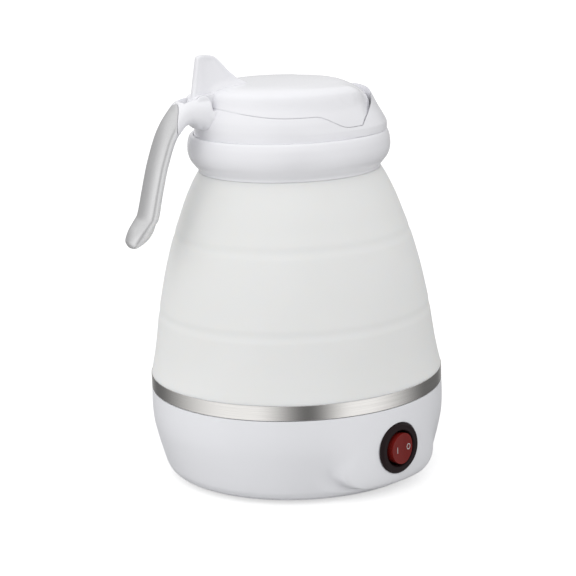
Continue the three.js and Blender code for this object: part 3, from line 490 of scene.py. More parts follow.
# Silicone wall
# The folding wall, moulded in one piece of white silicone: a foot under the plate's flange, a flared skirt
# over the band, two thin fold lines, and a bead in the clamp ring. It is shown as three lengths, because
# only the part between band and ring folds.
def rubbery(name, colour, shade, roughness, grain=0.02 * mm):
    """Silicone: satin, with a soft glow of light that has passed through the skin."""
    finish = Finish(name)
    flow = finish.noise(16)
    fine = finish.noise(1500)
    return finish.surface(
        Base_Color=finish.blend(flow.rise(0.3, 0.7), colour, shade),
        Roughness=roughness + (fine - 0.5) * 0.12,
        Normal=finish.bump(fine, grain),
        Subsurface_Weight=0.25,
        Subsurface_Radius=(1.0, 0.85, 0.7),
        Subsurface_Scale=1.5 * mm,
        Specular_IOR_Level=0.25)


clamp_low, clamp_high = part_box("clamp_ring")
neck_radius = 39.8 * mm
neck_outer = neck_radius - 2.2 * mm
neck_wall = 2.2 * mm
silicone_wall = 2.2 * mm
fold_half = 3 * mm
fold_notch = 0.24 * mm
body_bottom = band_top
body_top = clamp_low.z - gap
body_height = body_top - body_bottom
bead_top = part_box("silicone_body")[1].z
bead_bottom = bead_top - 3 * mm
bead_radius = neck_outer + 3.7 * mm
foot_bottom = shelf_top + gap
foot_top = foot_bottom + 3.5 * mm

# Height as a share of the wall that shows, and how far its radius lies from the neck's to the band's
body_rows = [
    (0, 0.99), (0.025, 0.971), (0.06, 0.944), (0.13, 0.897), (0.21, 0.856), (0.31, 0.806), (0.4, 0.745),
    (0.5, 0.67), (0.6, 0.578), (0.69, 0.483), (0.77, 0.38), (0.86, 0.26), (0.95, 0.111), (1, 0.005),
]
fold_heights = [body_bottom + body_height * share for share in (0.31, 0.69)]


def near_fold(height):
    """1 on a fold line, falling off smoothly to 0 beside it."""
    return max(1 - rise(abs(height - fold), 0, fold_half) for fold in fold_heights)


body_line = [(neck_radius + (band_radius - neck_radius) * reach, body_bottom + body_height * share)
             for share, reach in smooth_line(body_rows, 16)]
outer_skin = [(radius - fold_notch * near_fold(height), height) for radius, height in body_line]
inner_skin = [(radius - silicone_wall + 0.8 * mm * near_fold(height), height)
              for radius, height in body_line[::-1]]
silicone = rubbery("white_silicone", (0.82, 0.825, 0.82), (0.8, 0.805, 0.795), 0.5)
wall = made(turned(outer_skin + inner_skin, 192), "silicone_wall")
dressed(wall, silicone, "white_silicone", "base", "silicone_body")
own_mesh(wall)

foot_inner = dish_radius + 3 * gap
foot_outer = lip_inner - gap
foot = made(turned([
    (foot_inner, foot_bottom), (foot_outer, foot_bottom, 0.4 * mm), (foot_outer, body_bottom - 0.4 * mm),
    (outer_skin[0][0], body_bottom - 0.35 * mm, 0.3 * mm), (outer_skin[0][0], body_bottom),
    (inner_skin[-1][0], body_bottom), (flange_radius + gap, flange_top + gap, 0.4 * mm),
    (flange_radius + gap, foot_top), (foot_inner, foot_top)], 192), "silicone_foot")
dressed(foot, silicone, "white_silicone", "base", "silicone_body")

neck = made(turned([
    (inner_skin[0][0], body_top), (outer_skin[-1][0], body_top), (neck_outer, body_top + 0.1 * mm),
    (neck_outer, bead_bottom), (bead_radius, bead_bottom, 0.5 * mm), (bead_radius, bead_top, 0.5 * mm),
    (neck_outer - neck_wall, bead_top, 0.5 * mm),
    (neck_outer - neck_wall, body_top)], 192), "silicone_neck")
dressed(neck, silicone, "white_silicone", "top", "silicone_body")


# Clamp ring
# A glossy white ring that snaps round the silicone bead and carries the collar. It is a plain moulding
# with a full, rounded outline.
clamp_radius = clamp_high.x
clamp_inner = clamp_radius - 2.7 * mm
clamp_ledge = clamp_low.z + 3.7 * mm

# Height as a share of the ring's, and how far its radius lies from the neck's to the ring's
clamp_rows = smooth_line([
    (0, 0), (0.04, 0.012), (0.09, 0.08), (0.2, 0.42), (0.35, 0.8), (0.55, 1), (0.78, 0.97),
    (0.93, 0.82), (0.985, 0.7),
], 5)
clamp_bottom = clamp_low.z - 0.2 * mm
clamp_top = clamp_high.z + 0.2 * mm
clamp_line = [(neck_radius + (clamp_radius - neck_radius) * reach,
               clamp_bottom + (clamp_top - clamp_bottom) * share) for share, reach in clamp_rows]
collar_plastic = moulded("gloss_white_plastic", (0.87, 0.87, 0.9), (0.85, 0.85, 0.88), 0.24)
clamp = made(turned([
    *clamp_line, (clamp_line[-1][0] - 0.35 * mm, clamp_top, 0.25 * mm),
    (clamp_inner, clamp_top, 0.2 * mm), (clamp_inner, clamp_ledge),
    (neck_outer + gap, clamp_ledge, 0.2 * mm), (neck_outer + gap, clamp_bottom, 0.3 * mm)], 240),
    "clamp_hoop")
dressed(clamp, collar_plastic, "white_plastic", "top", "clamp_ring")


# Collar
# The rigid top of the vessel: a spigot inside the clamp ring, a waist at the sides and back, the deck and
# mouth under the lid, and in front the spout, whose rim follows the large arc of the lid.
dome_bottom = clamp_high.z + gap
dome_height = 22.5 * mm
dome_top = dome_bottom + dome_height
dome_radius = 43.3 * mm
waist_depth = 2.2 * mm
deck_gap = 0.13 * mm
edge_outside = 0.88 * dome_radius
edge_inside = 0.82 * dome_radius
mouth_top = dome_bottom + 0.45 * dome_height
lid_centre, lid_radius = -16 * mm, 50 * mm
slot_centre, slot_radius = -13.9 * mm, 48.9 * mm
spigot_outer = clamp_inner - gap
spigot_inner = spigot_outer - 3.4 * mm
spigot_bottom = bead_top + gap
mouth_radius = 33 * mm
taper_top = mouth_top - 2.8 * mm
taper_bottom = taper_top - 4 * mm
channel_bottom = taper_bottom - 1.5 * mm
spout_wall = 2.4 * mm

# Height, radius at the spout and at the fuller back as shares of the dome's, and of the waist's depth
dome_rows = smooth_line([
    (0, 0.993, 0.995, 1), (0.06, 0.994, 0.996, 1), (0.125, 0.992, 0.994, 0.98), (0.15, 0.9885, 0.992, 0.95),
    (0.213, 0.972, 0.984, 0.86), (0.32, 0.942, 0.961, 0.64), (0.409, 0.914, 0.934, 0.46),
    (0.511, 0.886, 0.907, 0.41), (0.613, 0.86, 0.88, 0.36), (0.7, 0.836, 0.863, 0.28),
    (0.77, 0.808, 0.847, 0.1), (0.83, 0.765, 0.823, 0), (0.88, 0.7, 0.786, 0), (0.929, 0.595, 0.71, 0),
    (0.96, 0.46, 0.59, 0), (0.977, 0.3, 0.42, 0), (0.986, 0.15, 0.22, 0), (0.989, 0, 0, 0),
], 8)

# Directions in degrees from the spout between which the waist deepens, and between which the dome grows
# full at its wall and at its shoulder, and the shares of its height where the shoulder starts and ends
waist_from, waist_to = 42, 84
wall_from, wall_to = 60, 125
shoulder_from, shoulder_to = 8, 55
shoulder_foot, shoulder_head = (0.5, 0.86), (0.88, 0.97)


def between(table, key, column, value):
    """Reads a table whose key column rises or falls steadily."""
    for low, high in zip(table, table[1:]):
        if min(low[key], high[key]) <= value <= max(low[key], high[key]) and low[key] != high[key]:
            return low[column] + (high[column] - low[column]) * (value - low[key]) / (high[key] - low[key])
    return min(table[0], table[-1], key=lambda row: abs(value - row[key]))[column]


def dome_line(angle, waist=0.0, inset=0.0):
    """The dome's outline in one direction, from its foot to its top, drawn in at the waist. Its back is
    fuller than its front, and its shoulder is full almost up to the spout."""
    around = apart(angle, 0)
    drawn_in = waist * rise(around, waist_from, waist_to)
    found = []
    for height, front, back, drawn in dome_rows:
        shoulder = rise(height, *shoulder_foot) * (1 - rise(height, *shoulder_head))
        fullness = rise(around, wall_from + (shoulder_from - wall_from) * shoulder,
                        wall_to + (shoulder_to - wall_to) * shoulder)
        radius = dome_radius * (front + (back - front) * fullness) - drawn_in * drawn
        found.append((radius - inset * (front > 0),
                      dome_bottom + dome_height * height - (inset * height if height > 0.4 else 0)))
    return found


# The lid's edge: how far it rises and dips, in which directions, and where the spout beside it ends
edge_lift, edge_dip = 0.13 * dome_height, 0.245 * dome_height
lifts, dips = (112, 170), (74, 97)
spout_ends = 40, 42.5


def lid_edge(angle):
    """Height of the lid's lower edge: it rises towards the hinge and dips at the two front corners."""
    around = apart(angle, 0)
    return mouth_top + edge_lift * rise(around, *lifts) - edge_dip * (1 - rise(around, *dips))


def arc_reach(angle, centre, radius):
    """Distance from the kettle's axis to an arc that is centred behind it."""
    turn = radians(angle)
    return centre * cos(turn) + sqrt(radius * radius - (centre * sin(turn)) ** 2)


def deck_height(radius, angle, drop=0.0):
    """Height of the face on which the lid lies."""
    share = clipped((radius - edge_inside) / (edge_outside - edge_inside))
    return mouth_top + (lid_edge(angle) - mouth_top) * share - drop


def spread(start, *stops):
    """Points along straight lines, without the first one. A stop is a point and the count up to it."""
    found = []
    for end, count in stops:
        found += [Vector(start).lerp(Vector(end), i / count) for i in range(1, count + 1)]
        start = end
    return found


def collar_profile(angle):
    outline = dome_line(angle, waist_depth)
    slot = arc_reach(angle, slot_centre, slot_radius)
    rim_height = max(lid_edge(angle) - deck_gap, between(outline, 0, 1, slot))
    rim = (between(outline, 1, 0, rim_height), rim_height)
    heights = [dome_bottom + (rim_height - dome_bottom) * i / 40 for i in range(1, 40)]
    outside = [(between(outline, 1, 0, height), height) for height in heights]

    # Inside of the rim, over the deck and down the mouth
    wall = min(slot, rim[0] - 0.05 * mm)
    shelf = min(edge_outside, wall - 0.05 * mm)
    deck = mouth_top - deck_gap
    side = spread(
        rim, ((wall, deck_height(wall, angle, deck_gap)), 4),
        ((shelf, deck_height(shelf, angle, deck_gap)), 2), ((edge_inside, deck), 4),
        ((mouth_radius, deck), 2), ((mouth_radius, taper_top), 2), ((spigot_inner, taper_bottom), 2))

    # Inside of the spout, down its wall and over the channel's floor
    inner = dome_line(angle, 0, spout_wall)
    inner_top = between(inner, 0, 1, wall)
    front = spread(rim, ((wall, inner_top), 4))
    for i in range(1, 9):
        height = inner_top + (channel_bottom - inner_top) * i / 8
        front.append(Vector((between(inner, 1, 0, height), height)))
    front += spread(front[-1], ((spigot_inner, channel_bottom), 4))
    share = 1 - rise(apart(angle, 0), *spout_ends)
    inside = [a.lerp(b, share) for a, b in zip(side, front)]
    return [
        (spigot_inner, spigot_bottom, 0.3 * mm), (spigot_outer, spigot_bottom, 0.4 * mm),
        (spigot_outer, dome_bottom), (outline[0][0], dome_bottom, 0.3 * mm), *outside,
        (rim[0], rim[1], 0.45 * mm), *inside]


pin_x, pin_z = -41.5 * mm, dome_top - 6.9 * mm
screw_z = dome_bottom + 0.68 * (mouth_top - dome_bottom)
screw_seat = -mouth_radius - 2.6 * mm
screw_sides = -5.5 * mm, 5.5 * mm
head_hole, shank_hole = 3 * mm, 1.7 * mm
in_mouth, behind_wall = -30 * mm, -50 * mm
collar = made(turned(collar_profile, 288), "collar_moulding")
for side in screw_sides:
    combined(collar, "DIFFERENCE",
             bar(head_hole, (screw_seat, side, screw_z), (in_mouth, side, screw_z), 48),
             bar(shank_hole, (behind_wall, side, screw_z), (in_mouth, side, screw_z), 32))
dressed(collar, collar_plastic, "white_plastic", "top", "collar")


# Handle
# A white root, screwed to the collar from inside its mouth and forked for the lid's hinge, and a silver
# painted grip that is snapped over it. Both are cut from one skin: rings across the handle, bridged.
handle_root = -40 * mm
handle_reach = 37 * mm
handle_top = dome_top - 5.3 * mm
handle_drop = 62 * mm
handle_half = 8.5 * mm
grip_bow, bow_gap = 12.5 * mm, 0.12 * mm
bow_bottom, bow_top = 90 * mm, 190 * mm
grip_centre = -64 * mm
pin_radius = 1.3 * mm
pin_play = 0.25 * mm
skin_mesh = 0.3 * mm
knuckle_radius = 3.2 * mm
knuckle_half = 4.65 * mm
ear_clear = 0.4 * mm
ear_inside = knuckle_half + ear_clear
pin_half = ear_inside + mm
tab_lean = 9.5
lid_opening = 70
root_flare = 0.8 * mm
ear_radius = 3.1 * mm
ear_cap = 0.8 * mm

# Inner edge's x and z, outer edge's x and z, and width, as shares of the reach, the drop and the width
handle_rows = smooth_line([
    (-0.12, 0.225, -0.12, -0.008, 1.1), (0.08, 0.213, 0.08, -0.019, 1.06),
    (0.157, 0.178, 0.276, 0.008, 1.02), (0.232, 0.177, 0.378, 0.07, 1), (0.303, 0.216, 0.465, 0.139, 1),
    (0.365, 0.266, 0.532, 0.209, 1), (0.416, 0.333, 0.592, 0.293, 1), (0.461, 0.41, 0.641, 0.377, 1),
    (0.501, 0.486, 0.683, 0.456, 1), (0.567, 0.643, 0.751, 0.615, 1), (0.62, 0.785, 0.815, 0.765, 1),
    (0.657, 0.826, 0.87, 0.816, 0.965), (0.692, 0.884, 0.938, 0.865, 0.9),
    (0.746, 0.929, 0.981, 0.913, 0.8), (0.816, 0.963, 0.997, 0.948, 0.66),
    (0.881, 0.985, 0.97, 0.982, 0.42), (0.905, 0.988, 0.948, 0.987, 0.22),
], 5)


def bridged(places, sides, name):
    """A closed skin over rings, flat at both ends. Each ring has a function that puts its points in place,
    from their direction round it."""
    mesh = bmesh.new()
    loops = []
    for place in places:
        points = bmesh.ops.create_circle(mesh, cap_ends=False, segments=sides, radius=1)["verts"]
        loops.append(list({edge for point in points for edge in point.link_edges}))
        for point in points:
            point.co = place(atan2(point.co.y, point.co.x))
    for first, second in zip(loops, loops[1:]):
        bmesh.ops.bridge_loops(mesh, edges=first + second)
    for end in (loops[0], loops[-1]):
        bmesh.ops.contextual_create(mesh, geom=end)
    bmesh.ops.recalc_face_normals(mesh, faces=mesh.faces)
    return made(mesh, name)


back_line = dome_line(180, waist_depth)


def squarish(value, power):
    """A cosine or sine that bends a round section towards a square one, with its own sign."""
    return abs(value) ** power * (1 if value > 0 else -1)


def handle_place(row, inset):
    """Places one ring of the handle, which flares a little where it meets the dome."""
    inner_x, inner_z, outer_x, outer_z, width = row
    inner, outer = (Vector((handle_root - handle_reach * x, 0, handle_top - handle_drop * z))
                    for x, z in ((inner_x, inner_z), (outer_x, outer_z)))
    middle, half = (inner + outer) / 2, (outer - inner) / 2
    half.length -= inset
    wide = handle_half * width - inset

    def place(turn):
        thick, side = squarish(cos(turn), 0.84), squarish(sin(turn), 0.84)
        point = middle + half * thick + Vector((0, wide * side, 0))
        away = point.xy.length - between(back_line, 1, 0, point.z)
        flare = root_flare * (1 - clipped(away / (2 * root_flare))) ** 2
        return point + flare * Vector((0, side, min(half.normalized().z * thick, 0)))
    return place


def handle_skin(inset=0.0):
    return bridged([handle_place(row, inset) for row in handle_rows], 56, "handle_skin")


def reskinned(piece, passes):
    """Closes the piece's skin anew with a fine mesh, which rounds all its edges a little."""
    skin = piece.modifiers.new("skin", "REMESH")
    skin.mode = "VOXEL"
    skin.voxel_size = skin_mesh
    soft = piece.modifiers.new("soft", "SMOOTH")
    soft.iterations = passes
    return applied(piece)


def pin_bar(radius, start, end, sides=64):
    """A bar along the hinge's axis."""
    return bar(radius, (pin_x, start, pin_z), (pin_x, end, pin_z), sides)


def bow_bar(radius):
    """The upright bar whose round side is the joint between root and grip."""
    return bar(radius, (grip_centre, 0, bow_bottom), (grip_centre, 0, bow_top), 128)


wide = 90 * mm
edge_at_back = lid_edge(180)
grown_collar = made(turned(lambda angle: [
    (0, spigot_bottom), (spigot_outer, spigot_bottom), (spigot_outer, dome_bottom - gap),
    *dome_line(angle, waist_depth, 0.25 * mm)], 144, closed=False), "grown_collar")
groove = block((-knuckle_radius - ear_clear, -ear_inside, 0),
               (-knuckle_radius - ear_clear + dome_height, ear_inside, 2 * dome_height))
groove.data.transform(Matrix.Translation((pin_x, 0, pin_z))
                      @ Matrix.Rotation(radians(tab_lean - lid_opening), 4, "Y"))
ears = combined(handle_skin(), "UNION", *(
    pin_bar(ear_radius, side * ear_inside, side * (pin_half + ear_cap)) for side in (-1, 1)))
bracket = combined(
    ears, "DIFFERENCE",
    bow_bar(grip_bow + bow_gap),
    block((-2 * wide, -wide, 0), (grip_centre, wide, 2 * dome_top)),
    grown_collar,
    block((pin_x + ear_radius, -wide, edge_at_back - 2 * gap), (0, wide, dome_top)),
    pin_bar(knuckle_radius + ear_clear, -ear_inside, ear_inside),
    block((pin_x - knuckle_radius - ear_clear, -ear_inside, pin_z), (0, ear_inside, dome_top)),
    block((pin_x, -ear_inside, edge_at_back - deck_gap), (0, ear_inside, dome_top)),
    groove,
    pin_bar(pin_radius + pin_play, -pin_half - gap, wide, 32))
bracket = reskinned(bracket, 3)
dressed(bracket, collar_plastic, "white_plastic", "top", "handle_bracket", sharp=180)

head_radius, head_height, shank_radius = 2.7 * mm, 1.9 * mm, 1.3 * mm
for name, side in zip(numbered("handle_screw", 2), screw_sides):
    screw = combined(
        bar(head_radius, (screw_seat, side, screw_z), (screw_seat + head_height, side, screw_z), 48),
        "UNION",
        bar(shank_radius, (pin_x - mm, side, screw_z), (screw_seat + 0.5 * mm, side, screw_z), 32))
    dressed(screw, zinc_plate, "fastener_steel", "top", name)

silver = Finish("silver_paint")
flake = silver.noise(3200)
silver_grip = silver.surface(
    Base_Color=silver.blend(flake.rise(0.3, 0.7), (0.76, 0.76, 0.765), (0.7, 0.7, 0.71)),
    Metallic=0.55,
    Roughness=0.34 + (flake - 0.5) * 0.12,
    Coat_Weight=0.3,
    Normal=silver.bump(flake, 0.006 * mm))
grip = combined(
    handle_skin(0.1 * mm), "INTERSECT",
    combined(bow_bar(grip_bow), "UNION",
             block((-2 * wide, -wide, 0), (grip_centre, wide, 2 * dome_top))))
dressed(reskinned(grip, 2), silver_grip, "silver_grip", "top", "handle_grip", sharp=180)


# Lid
# A domed white moulding with a large arc in front, a thumb tab hollowed at its sides, and a knuckle that
# turns on the steel pin between the handle's ears.
lid_wall = 2.2 * mm
slope_length = 15 * mm
slope_drop = 4.8 * mm
slope_power = 2.2
slope_from, slope_to = 42, 62
tab_ridge = 1.3 * mm
web_half = 0.85 * mm
knuckle_end = pin_x + 6.7 * mm
tab_height = 0.87 * dome_height
tab_length = 25 * mm
flare_height = 3.5 * mm
flare_width = 1.8 * mm

# Height, back and front edge as shares of the tab's height and length, and half width at the back
tab_rows = smooth_line([
    (0, 0, 1.04, 1), (0.3, 0, 0.95, 1), (0.44, 0, 0.81, 0.98), (0.61, 0, 0.635, 0.95),
    (0.72, 0, 0.54, 0.92), (0.83, 0, 0.447, 0.87), (0.91, 0, 0.375, 0.81), (0.955, 0.006, 0.325, 0.73),
    (0.98, 0.022, 0.275, 0.6), (0.995, 0.055, 0.21, 0.4), (1, 0.11, 0.15, 0.12),
], 5)


def lid_height(line, angle, radius):
    """Height of the lid on an outline of the dome. In front it slopes down to the arc behind the spout."""
    from_centre = sqrt(radius ** 2 - 2 * radius * lid_centre * cos(radians(angle)) + lid_centre ** 2)
    share = clipped(1 - (lid_radius - from_centre) / slope_length)
    in_front = 1 - rise(apart(angle, 0), slope_from, slope_to)
    return between(line, 0, 1, radius) - slope_drop * in_front * share ** slope_power


def lid_profile(angle):
    outer_line, inner_line = dome_line(angle, waist_depth), dome_line(angle, waist_depth, lid_wall)
    reach = min(arc_reach(angle, lid_centre, lid_radius),
                between(outer_line, 1, 0, lid_edge(angle) + 0.35 * mm))
    wall = reach - lid_wall
    outside = [(radius, lid_height(outer_line, angle, radius))
               for radius in [reach * sin(pi / 2 * i / 44) for i in range(42)]]
    inside = [(radius, lid_height(inner_line, angle, radius))
              for radius in [wall * cos(pi / 2 * i / 20) for i in range(20)]]
    return [
        (0, outer_line[-1][1]), *outside[1:], (reach, lid_height(outer_line, angle, reach), 0.4 * mm),
        (reach, deck_height(reach, angle), 0.2 * mm),
        (wall, min(deck_height(wall, angle), inside[0][1] - 0.05 * mm), 0.3 * mm), *inside,
        (0, inner_line[-1][1])]


def tab_place(row):
    """Places one ring of the thumb tab: a web with a thicker front and top, that widens to its back and
    flares at its foot."""
    height, back, front, width = row
    leaning = pin_x - knuckle_radius + tab_height * height * tan(radians(tab_lean))

    def place(turn):
        share = (1 - cos(turn)) / 2
        web = web_half + (tab_ridge - web_half) * max(rise(share, 0.75, 0.97), rise(height, 0.85, 0.98))
        half = web + (knuckle_half * width - web) * (1 - rise(share, -0.25, 0.6)) ** 1.3
        point = Vector((leaning + tab_length * (back + (front - back) * share),
                        half * squarish(sin(turn), 0.4), pin_z + tab_height * height))
        way = degrees(atan2(point.y, point.x))
        above = point.z - lid_height(dome_line(way, waist_depth), way, point.xy.length)
        flare = flare_width * (1 - clipped(above / flare_height)) ** 2
        if point.x > pin_x + knuckle_radius:
            point += Vector((-cos(turn) * flare, sin(turn) * flare, 0))
        return point
    return place


lid = combined(
    made(turned(lid_profile, 240, closed=False), "lid_moulding"), "UNION",
    bridged(map(tab_place, tab_rows), 64, "thumb_tab"),
    block((pin_x, -knuckle_half, edge_at_back), (knuckle_end, knuckle_half, pin_z + knuckle_radius)),
    pin_bar(knuckle_radius, -knuckle_half, knuckle_half))
combined(lid, "DIFFERENCE", pin_bar(pin_radius + pin_play, -wide, wide, 32))
dressed(lid, collar_plastic, "white_plastic", "lid", "lid")

hinge_pin = pin_bar(pin_radius, -pin_half, pin_half, 48)
dressed(hinge_pin, zinc_plate, "fastener_steel", "top", "hinge_pin")


# Lid liner and seal
# A disc snapped under the dome, with a short plug that reaches into the mouth and a silicone ring in the
# plug's groove, which wipes the mouth when the lid shuts.
liner_low, liner_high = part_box("lid_liner")
liner_plastic = moulded("liner_plastic", (0.78, 0.78, 0.78), (0.75, 0.75, 0.75), 0.4)
liner_bottom = liner_high.z - 1.6 * mm
plug_outer = mouth_radius - 1.6 * mm
plug_inner = plug_outer - 1.8 * mm
groove_half = 1.1 * mm
seal_low, seal_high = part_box("lid_seal")
seal_height = (seal_low.z + seal_high.z) / 2
groove_bottom, groove_top = seal_height - groove_half, seal_height + groove_half
seal_thick = 0.8 * mm
liner = made(turned([
    (0, liner_bottom), (plug_inner, liner_bottom), (plug_inner, liner_low.z, 0.4 * mm),
    (plug_outer, liner_low.z, 0.4 * mm), (plug_outer, groove_bottom, 0.15 * mm),
    (plug_outer - groove_half, groove_bottom), (plug_outer - groove_half, groove_top),
    (plug_outer, groove_top, 0.15 * mm), (plug_outer, liner_bottom),
    (liner_high.x, liner_bottom, 0.3 * mm), (liner_high.x, liner_high.z, 0.3 * mm), (0, liner_high.z)],
    144, closed=False), "liner_disc")
dressed(liner, liner_plastic, "liner_plastic", "lid", "lid_liner")
seal_middle = Vector((plug_outer + gap / 2, seal_height))
seal = made(turned([seal_middle + seal_thick * Vector((cos(pi * i / 8), sin(pi * i / 8)))
                    for i in range(16)], 144), "seal_ring")
dressed(seal, silicone, "white_silicone", "lid", "lid_seal")


# Rocker switch
# A bought-in round switch: a satin black bezel and barrel, and a dark red rocker with two slopes and
# printed off and on marks. One side is pressed in.
bezel_face = switch_seat + gap + 1.8 * mm
barrel_back = switch_seat + gap - 17 * mm
well_floor = barrel_back + 1.3 * mm
bezel_slope = 1.2 * mm
rocker_radius = 6.7 * mm
rocker_depth = 7 * mm
rocker_proud = 1.2 * mm
rocker_tilt = 7
facet_lean = 4
ridge_round = 0.4 * mm
mark_reach, mark_half = 3.7 * mm, 1.35 * mm
print_height = 0.04 * mm
well_radius = rocker_radius + 0.85 * mm
switch_frame = Matrix((upright.cross(switch_out), upright, switch_out)).transposed().to_4x4()
switch_place = Matrix.Translation(inlet_middle) @ switch_frame
black_plastic = moulded("black_plastic", (0.012, 0.006, 0.007), (0.015, 0.008, 0.009), 0.4, gloss=0.14)

switch_body = made(moved(turned([
    (0, barrel_back), (barrel_radius, barrel_back, 0.5 * mm), (barrel_radius, switch_seat + gap),
    (bezel_radius, switch_seat + gap, 0.2 * mm), (bezel_radius, bezel_face - bezel_slope, 0.5 * mm),
    (bezel_radius - bezel_slope, bezel_face, 0.6 * mm),
    (well_radius + 0.5 * bezel_slope, bezel_face, 0.5 * mm),
    (well_radius, bezel_face - bezel_slope, 0.3 * mm), (well_radius, well_floor), (0, well_floor)],
    144, closed=False), switch_place), "switch_bezel")
dressed(switch_body, black_plastic, "black_plastic", "base", "switch_body")

pivot = bezel_face - rocker_depth / 2
rocker_top = bezel_face + rocker_proud - gap - pivot
slope = tan(radians(facet_lean))
rocker_mesh = turned([
    (0, -rocker_depth / 2), (rocker_radius, -rocker_depth / 2, 0.5 * mm),
    (rocker_radius, rocker_top, 0.5 * mm),
    *[(rocker_radius * 0.93 * cos(pi / 2 * i / 14), rocker_top) for i in range(14)], (0, rocker_top)],
    144, closed=False)
for point in rocker_mesh.verts:
    share = rise(point.co.z, -rocker_depth / 4, rocker_top - mm)
    point.co.z -= share * slope * (sqrt(point.co.x ** 2 + ridge_round ** 2) - ridge_round)
rocker_place = (switch_place @ Matrix.Translation((0, 0, pivot))
                @ Matrix.Rotation(radians(rocker_tilt), 4, "Y"))
rocker = made(moved(rocker_mesh, rocker_place), "rocker_button")
rocker_red = moulded("rocker_red", (0.19, 0.012, 0.01), (0.165, 0.01, 0.008), 0.25, gloss=0.25)
dressed(rocker, rocker_red, "red_rocker", "rocker", "switch_rocker")

mark_white = moulded("mark_white", (0.55, 0.52, 0.52), (0.5, 0.47, 0.47), 0.4)
for name, side in (("off_mark", 1), ("on_mark", -1)):
    mark_mesh = bmesh.new()
    if side == 1:
        bmesh.ops.create_circle(mark_mesh, cap_ends=True, segments=48, radius=mark_half)
        bmesh.ops.inset_region(mark_mesh, faces=mark_mesh.faces, thickness=0.4 * mm, use_boundary=True,
                               use_even_offset=True)
        inner_faces = [face for face in mark_mesh.faces if len(face.verts) > 4]
        bmesh.ops.delete(mark_mesh, geom=inner_faces, context="FACES")
    else:
        bmesh.ops.create_grid(mark_mesh, x_segments=1, y_segments=1, size=mark_half)
        bmesh.ops.scale(mark_mesh, verts=mark_mesh.verts, vec=(0.18 * mm / mark_half, 1, 1))
    bmesh.ops.solidify(mark_mesh, geom=mark_mesh.faces, thickness=0.06 * mm)
    moved(mark_mesh, rocker_place @ Matrix.Translation(
        (side * mark_reach, 0, rocker_top - slope * (mark_reach - ridge_round) + print_height))
        @ Matrix.Rotation(side * radians(facet_lean), 4, "Y"))
    bmesh.ops.recalc_face_normals(mark_mesh, faces=mark_mesh.faces)
    dressed(made(mark_mesh, name), mark_white, "white_plastic", "rocker")


# Mains inlet
# A bought-in black socket for a detachable cord, its flange let into the lobe, with three brass pins.
inlet_face = housing_high.y
socket_floor = inlet_face - 17 * mm
housing = combined(
    inlet_block(inlet_half, inlet_seat + gap, inlet_face, 0.7 * mm), "UNION",
    inlet_block(socket_half, housing_low.y, inlet_face - 0.9 * mm, 0.9 * mm))
wall_inset = Vector((1.6 * mm, 0, 1.6 * mm))
combined(housing, "DIFFERENCE",
         inlet_block(socket_half - wall_inset, socket_floor, inlet_face + 3 * mm, 0.8 * mm))
dressed(housing, black_plastic, "black_plastic", "base", "inlet_housing")


# Bottom cover and feet
# A flat white cover, held by four sunk screws, with recesses for four round feet of grey rubber.
foot_circle = 0.82 * cover_radius
rubber = moulded("grey_rubber", (0.32, 0.32, 0.33), (0.28, 0.28, 0.29), 0.75, 0.05 * mm)
boss_circle = 48.5 * mm
foot_start = 17
recess_radius, recess_height = 5.3 * mm, 1.2 * mm
pad_radius, pad_top = 5 * mm, cover_low.z + 0.9 * mm
screw_hole, screw_depth = 2.9 * mm, 1.6 * mm
cover = made(turned([
    (0, cover_low.z), (cover_radius, cover_low.z, 0.5 * mm), (cover_radius, cover_high.z, 0.4 * mm),
    (0, cover_high.z)], 192, closed=False), "cover_disc")
for i in range(4):
    middle = polar(foot_circle, foot_start + 90 * i)
    screw = polar(boss_circle, stud_start + 45 + 90 * i)
    combined(cover, "DIFFERENCE",
             bar(recess_radius, middle, middle + (cover_low.z + recess_height) * upright),
             bar(screw_hole, screw, screw + (cover_low.z + screw_depth) * upright, 48))
    pad = made(moved(turned([
        (0, 0), (4.4 * mm, 0), (pad_radius, 0.5 * mm, 0.4 * mm), (pad_radius, pad_top), (0, pad_top)],
        64, closed=False), Matrix.Translation(middle)), f"rubber_pad_{i + 1}")
    dressed(pad, rubber, "rubber", "base", f"rubber_foot_{i + 1}")
dressed(cover, shell_plastic, "white_plastic", "base", "bottom_cover")


# Camera
# A long lens a little above the rim, turned towards the handle and the switch, with the slight tilt of a
# product shot made by hand.
camera_azimuth = radians(-24)
camera_elevation = radians(13.38)
camera_distance = 794 * mm
camera_aim = Vector((0, 0, 80.8 * mm))
camera_pan = radians(-0.18)
camera_roll = radians(-1.93)


def towards(azimuth, elevation):
    """The direction at two angles, in radians, from the front and from the horizon."""
    return Vector((sin(azimuth) * cos(elevation), -cos(azimuth) * cos(elevation), sin(elevation)))


camera = bpy.data.objects.new("camera", bpy.data.cameras.new("camera"))
camera.data.lens = 111.4
camera.data.sensor_width = 36
camera.data.clip_end = 10
camera_place = camera_aim + camera_distance * towards(camera_azimuth, camera_elevation)
camera.matrix_world = (Matrix.Translation(camera_place)
                       @ Matrix.Rotation(camera_azimuth, 4, "Z")
                       @ Matrix.Rotation(pi / 2 - camera_elevation, 4, "X")
                       @ Matrix.Rotation(-camera_pan, 4, "Y") @ Matrix.Rotation(camera_roll, 4, "Z"))
scene.collection.objects.link(camera)
scene.camera = camera


# Floor
# A plain pale floor. It looks white to the camera and still holds the kettle's soft contact shadow.
floor_mesh = bmesh.new()
bmesh.ops.create_grid(floor_mesh, x_segments=1, y_segments=1, size=4)
floor = made(floor_mesh, "floor")
floor_finish = Finish("pale_floor")
floor.data.materials.append(floor_finish.surface(
    Base_Color=(0.56, 0.56, 0.56, 1), Roughness=0.9, Emission_Color=(1, 1, 1, 1),
    Emission_Strength=floor_finish.ray("Camera") * 0.58))
floor.visible_glossy = False


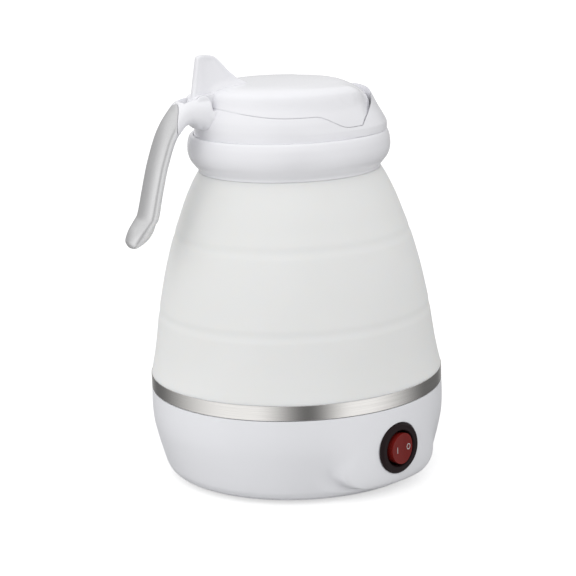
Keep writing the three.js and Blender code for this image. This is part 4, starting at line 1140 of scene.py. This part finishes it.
# Studio
# A white room for the camera. The surfaces get an even soft light, stronger from a window on the left, and
# metal mirrors a dark room with two tall soft boxes beside the camera under a bright ceiling.
room = bpy.data.worlds.new("studio")
room.use_nodes = True
scene.world = room
studio = Nodes(room.node_tree)
seen = studio.ray("Camera")
mirrored = studio.ray("Glossy")
direction = studio.node("ShaderNodeTexCoord", {}, {}, "Generated")
x, y, z = (studio.node("ShaderNodeSeparateXYZ", {}, {"Vector": direction}, axis) for axis in "XYZ")
sideways = x * cos(camera_azimuth) + y * sin(camera_azimuth)
forwards = x * sin(camera_azimuth) - y * cos(camera_azimuth)
turn = sideways.sum("ARCTAN2", sideways, forwards)


def soft_box(*angles):
    """Rises from the edge to the core of a soft box and falls again, over four angles in degrees."""
    edge, core, fade, end = map(radians, angles)
    return lambda value: value.rise(edge, core) * (1 - value.rise(fade, end))


dark_room, box_glow, back_glow, top_glow = 0.2, 1.15, 0.5, 0.9
room_light, window_light = 1.06, 0.48
columns = soft_box(8, 44, 54, 122)(turn) + soft_box(-8, 34, 54, 140)(turn * -1.0)
behind = turn.sum("ABSOLUTE", turn).rise(radians(146), radians(180))
ceiling = z.rise(0.08, 0.5)
reflection = (dark_room + columns * box_glow + behind * back_glow) * (1 - ceiling) + ceiling * top_glow
window = (sideways * -1.0).rise(0.1, 1.0)
ambient = room_light + window * window_light - sideways * 0.03 + z * 0.05
strength = seen + (1 - seen) * (mirrored * reflection + (1 - mirrored) * ambient)
background = studio.tree.nodes.new("ShaderNodeBackground")
studio.feed(background.inputs["Strength"], strength)
room_output = studio.tree.nodes.new("ShaderNodeOutputWorld")
studio.tree.links.new(background.outputs[0], room_output.inputs[0])

for name, azimuth, elevation, distance, size, power in (
        ("key", -58, 42, 1.3, 1.5, 2.8), ("fill", 35, 50, 1.3, 1.2, 1.6)):
    lamp = bpy.data.objects.new(name, bpy.data.lights.new(name, "AREA"))
    lamp.data.shape = "SQUARE"
    lamp.data.size = size
    lamp.data.energy = power
    out = towards(radians(azimuth), radians(elevation))
    lamp.matrix_world = (Matrix.Translation(camera_aim + distance * out)
                         @ out.to_track_quat("Z", "Y").to_matrix().to_4x4())
    lamp.visible_glossy = False
    scene.collection.objects.link(lamp)

scene.view_settings.view_transform = "Standard"
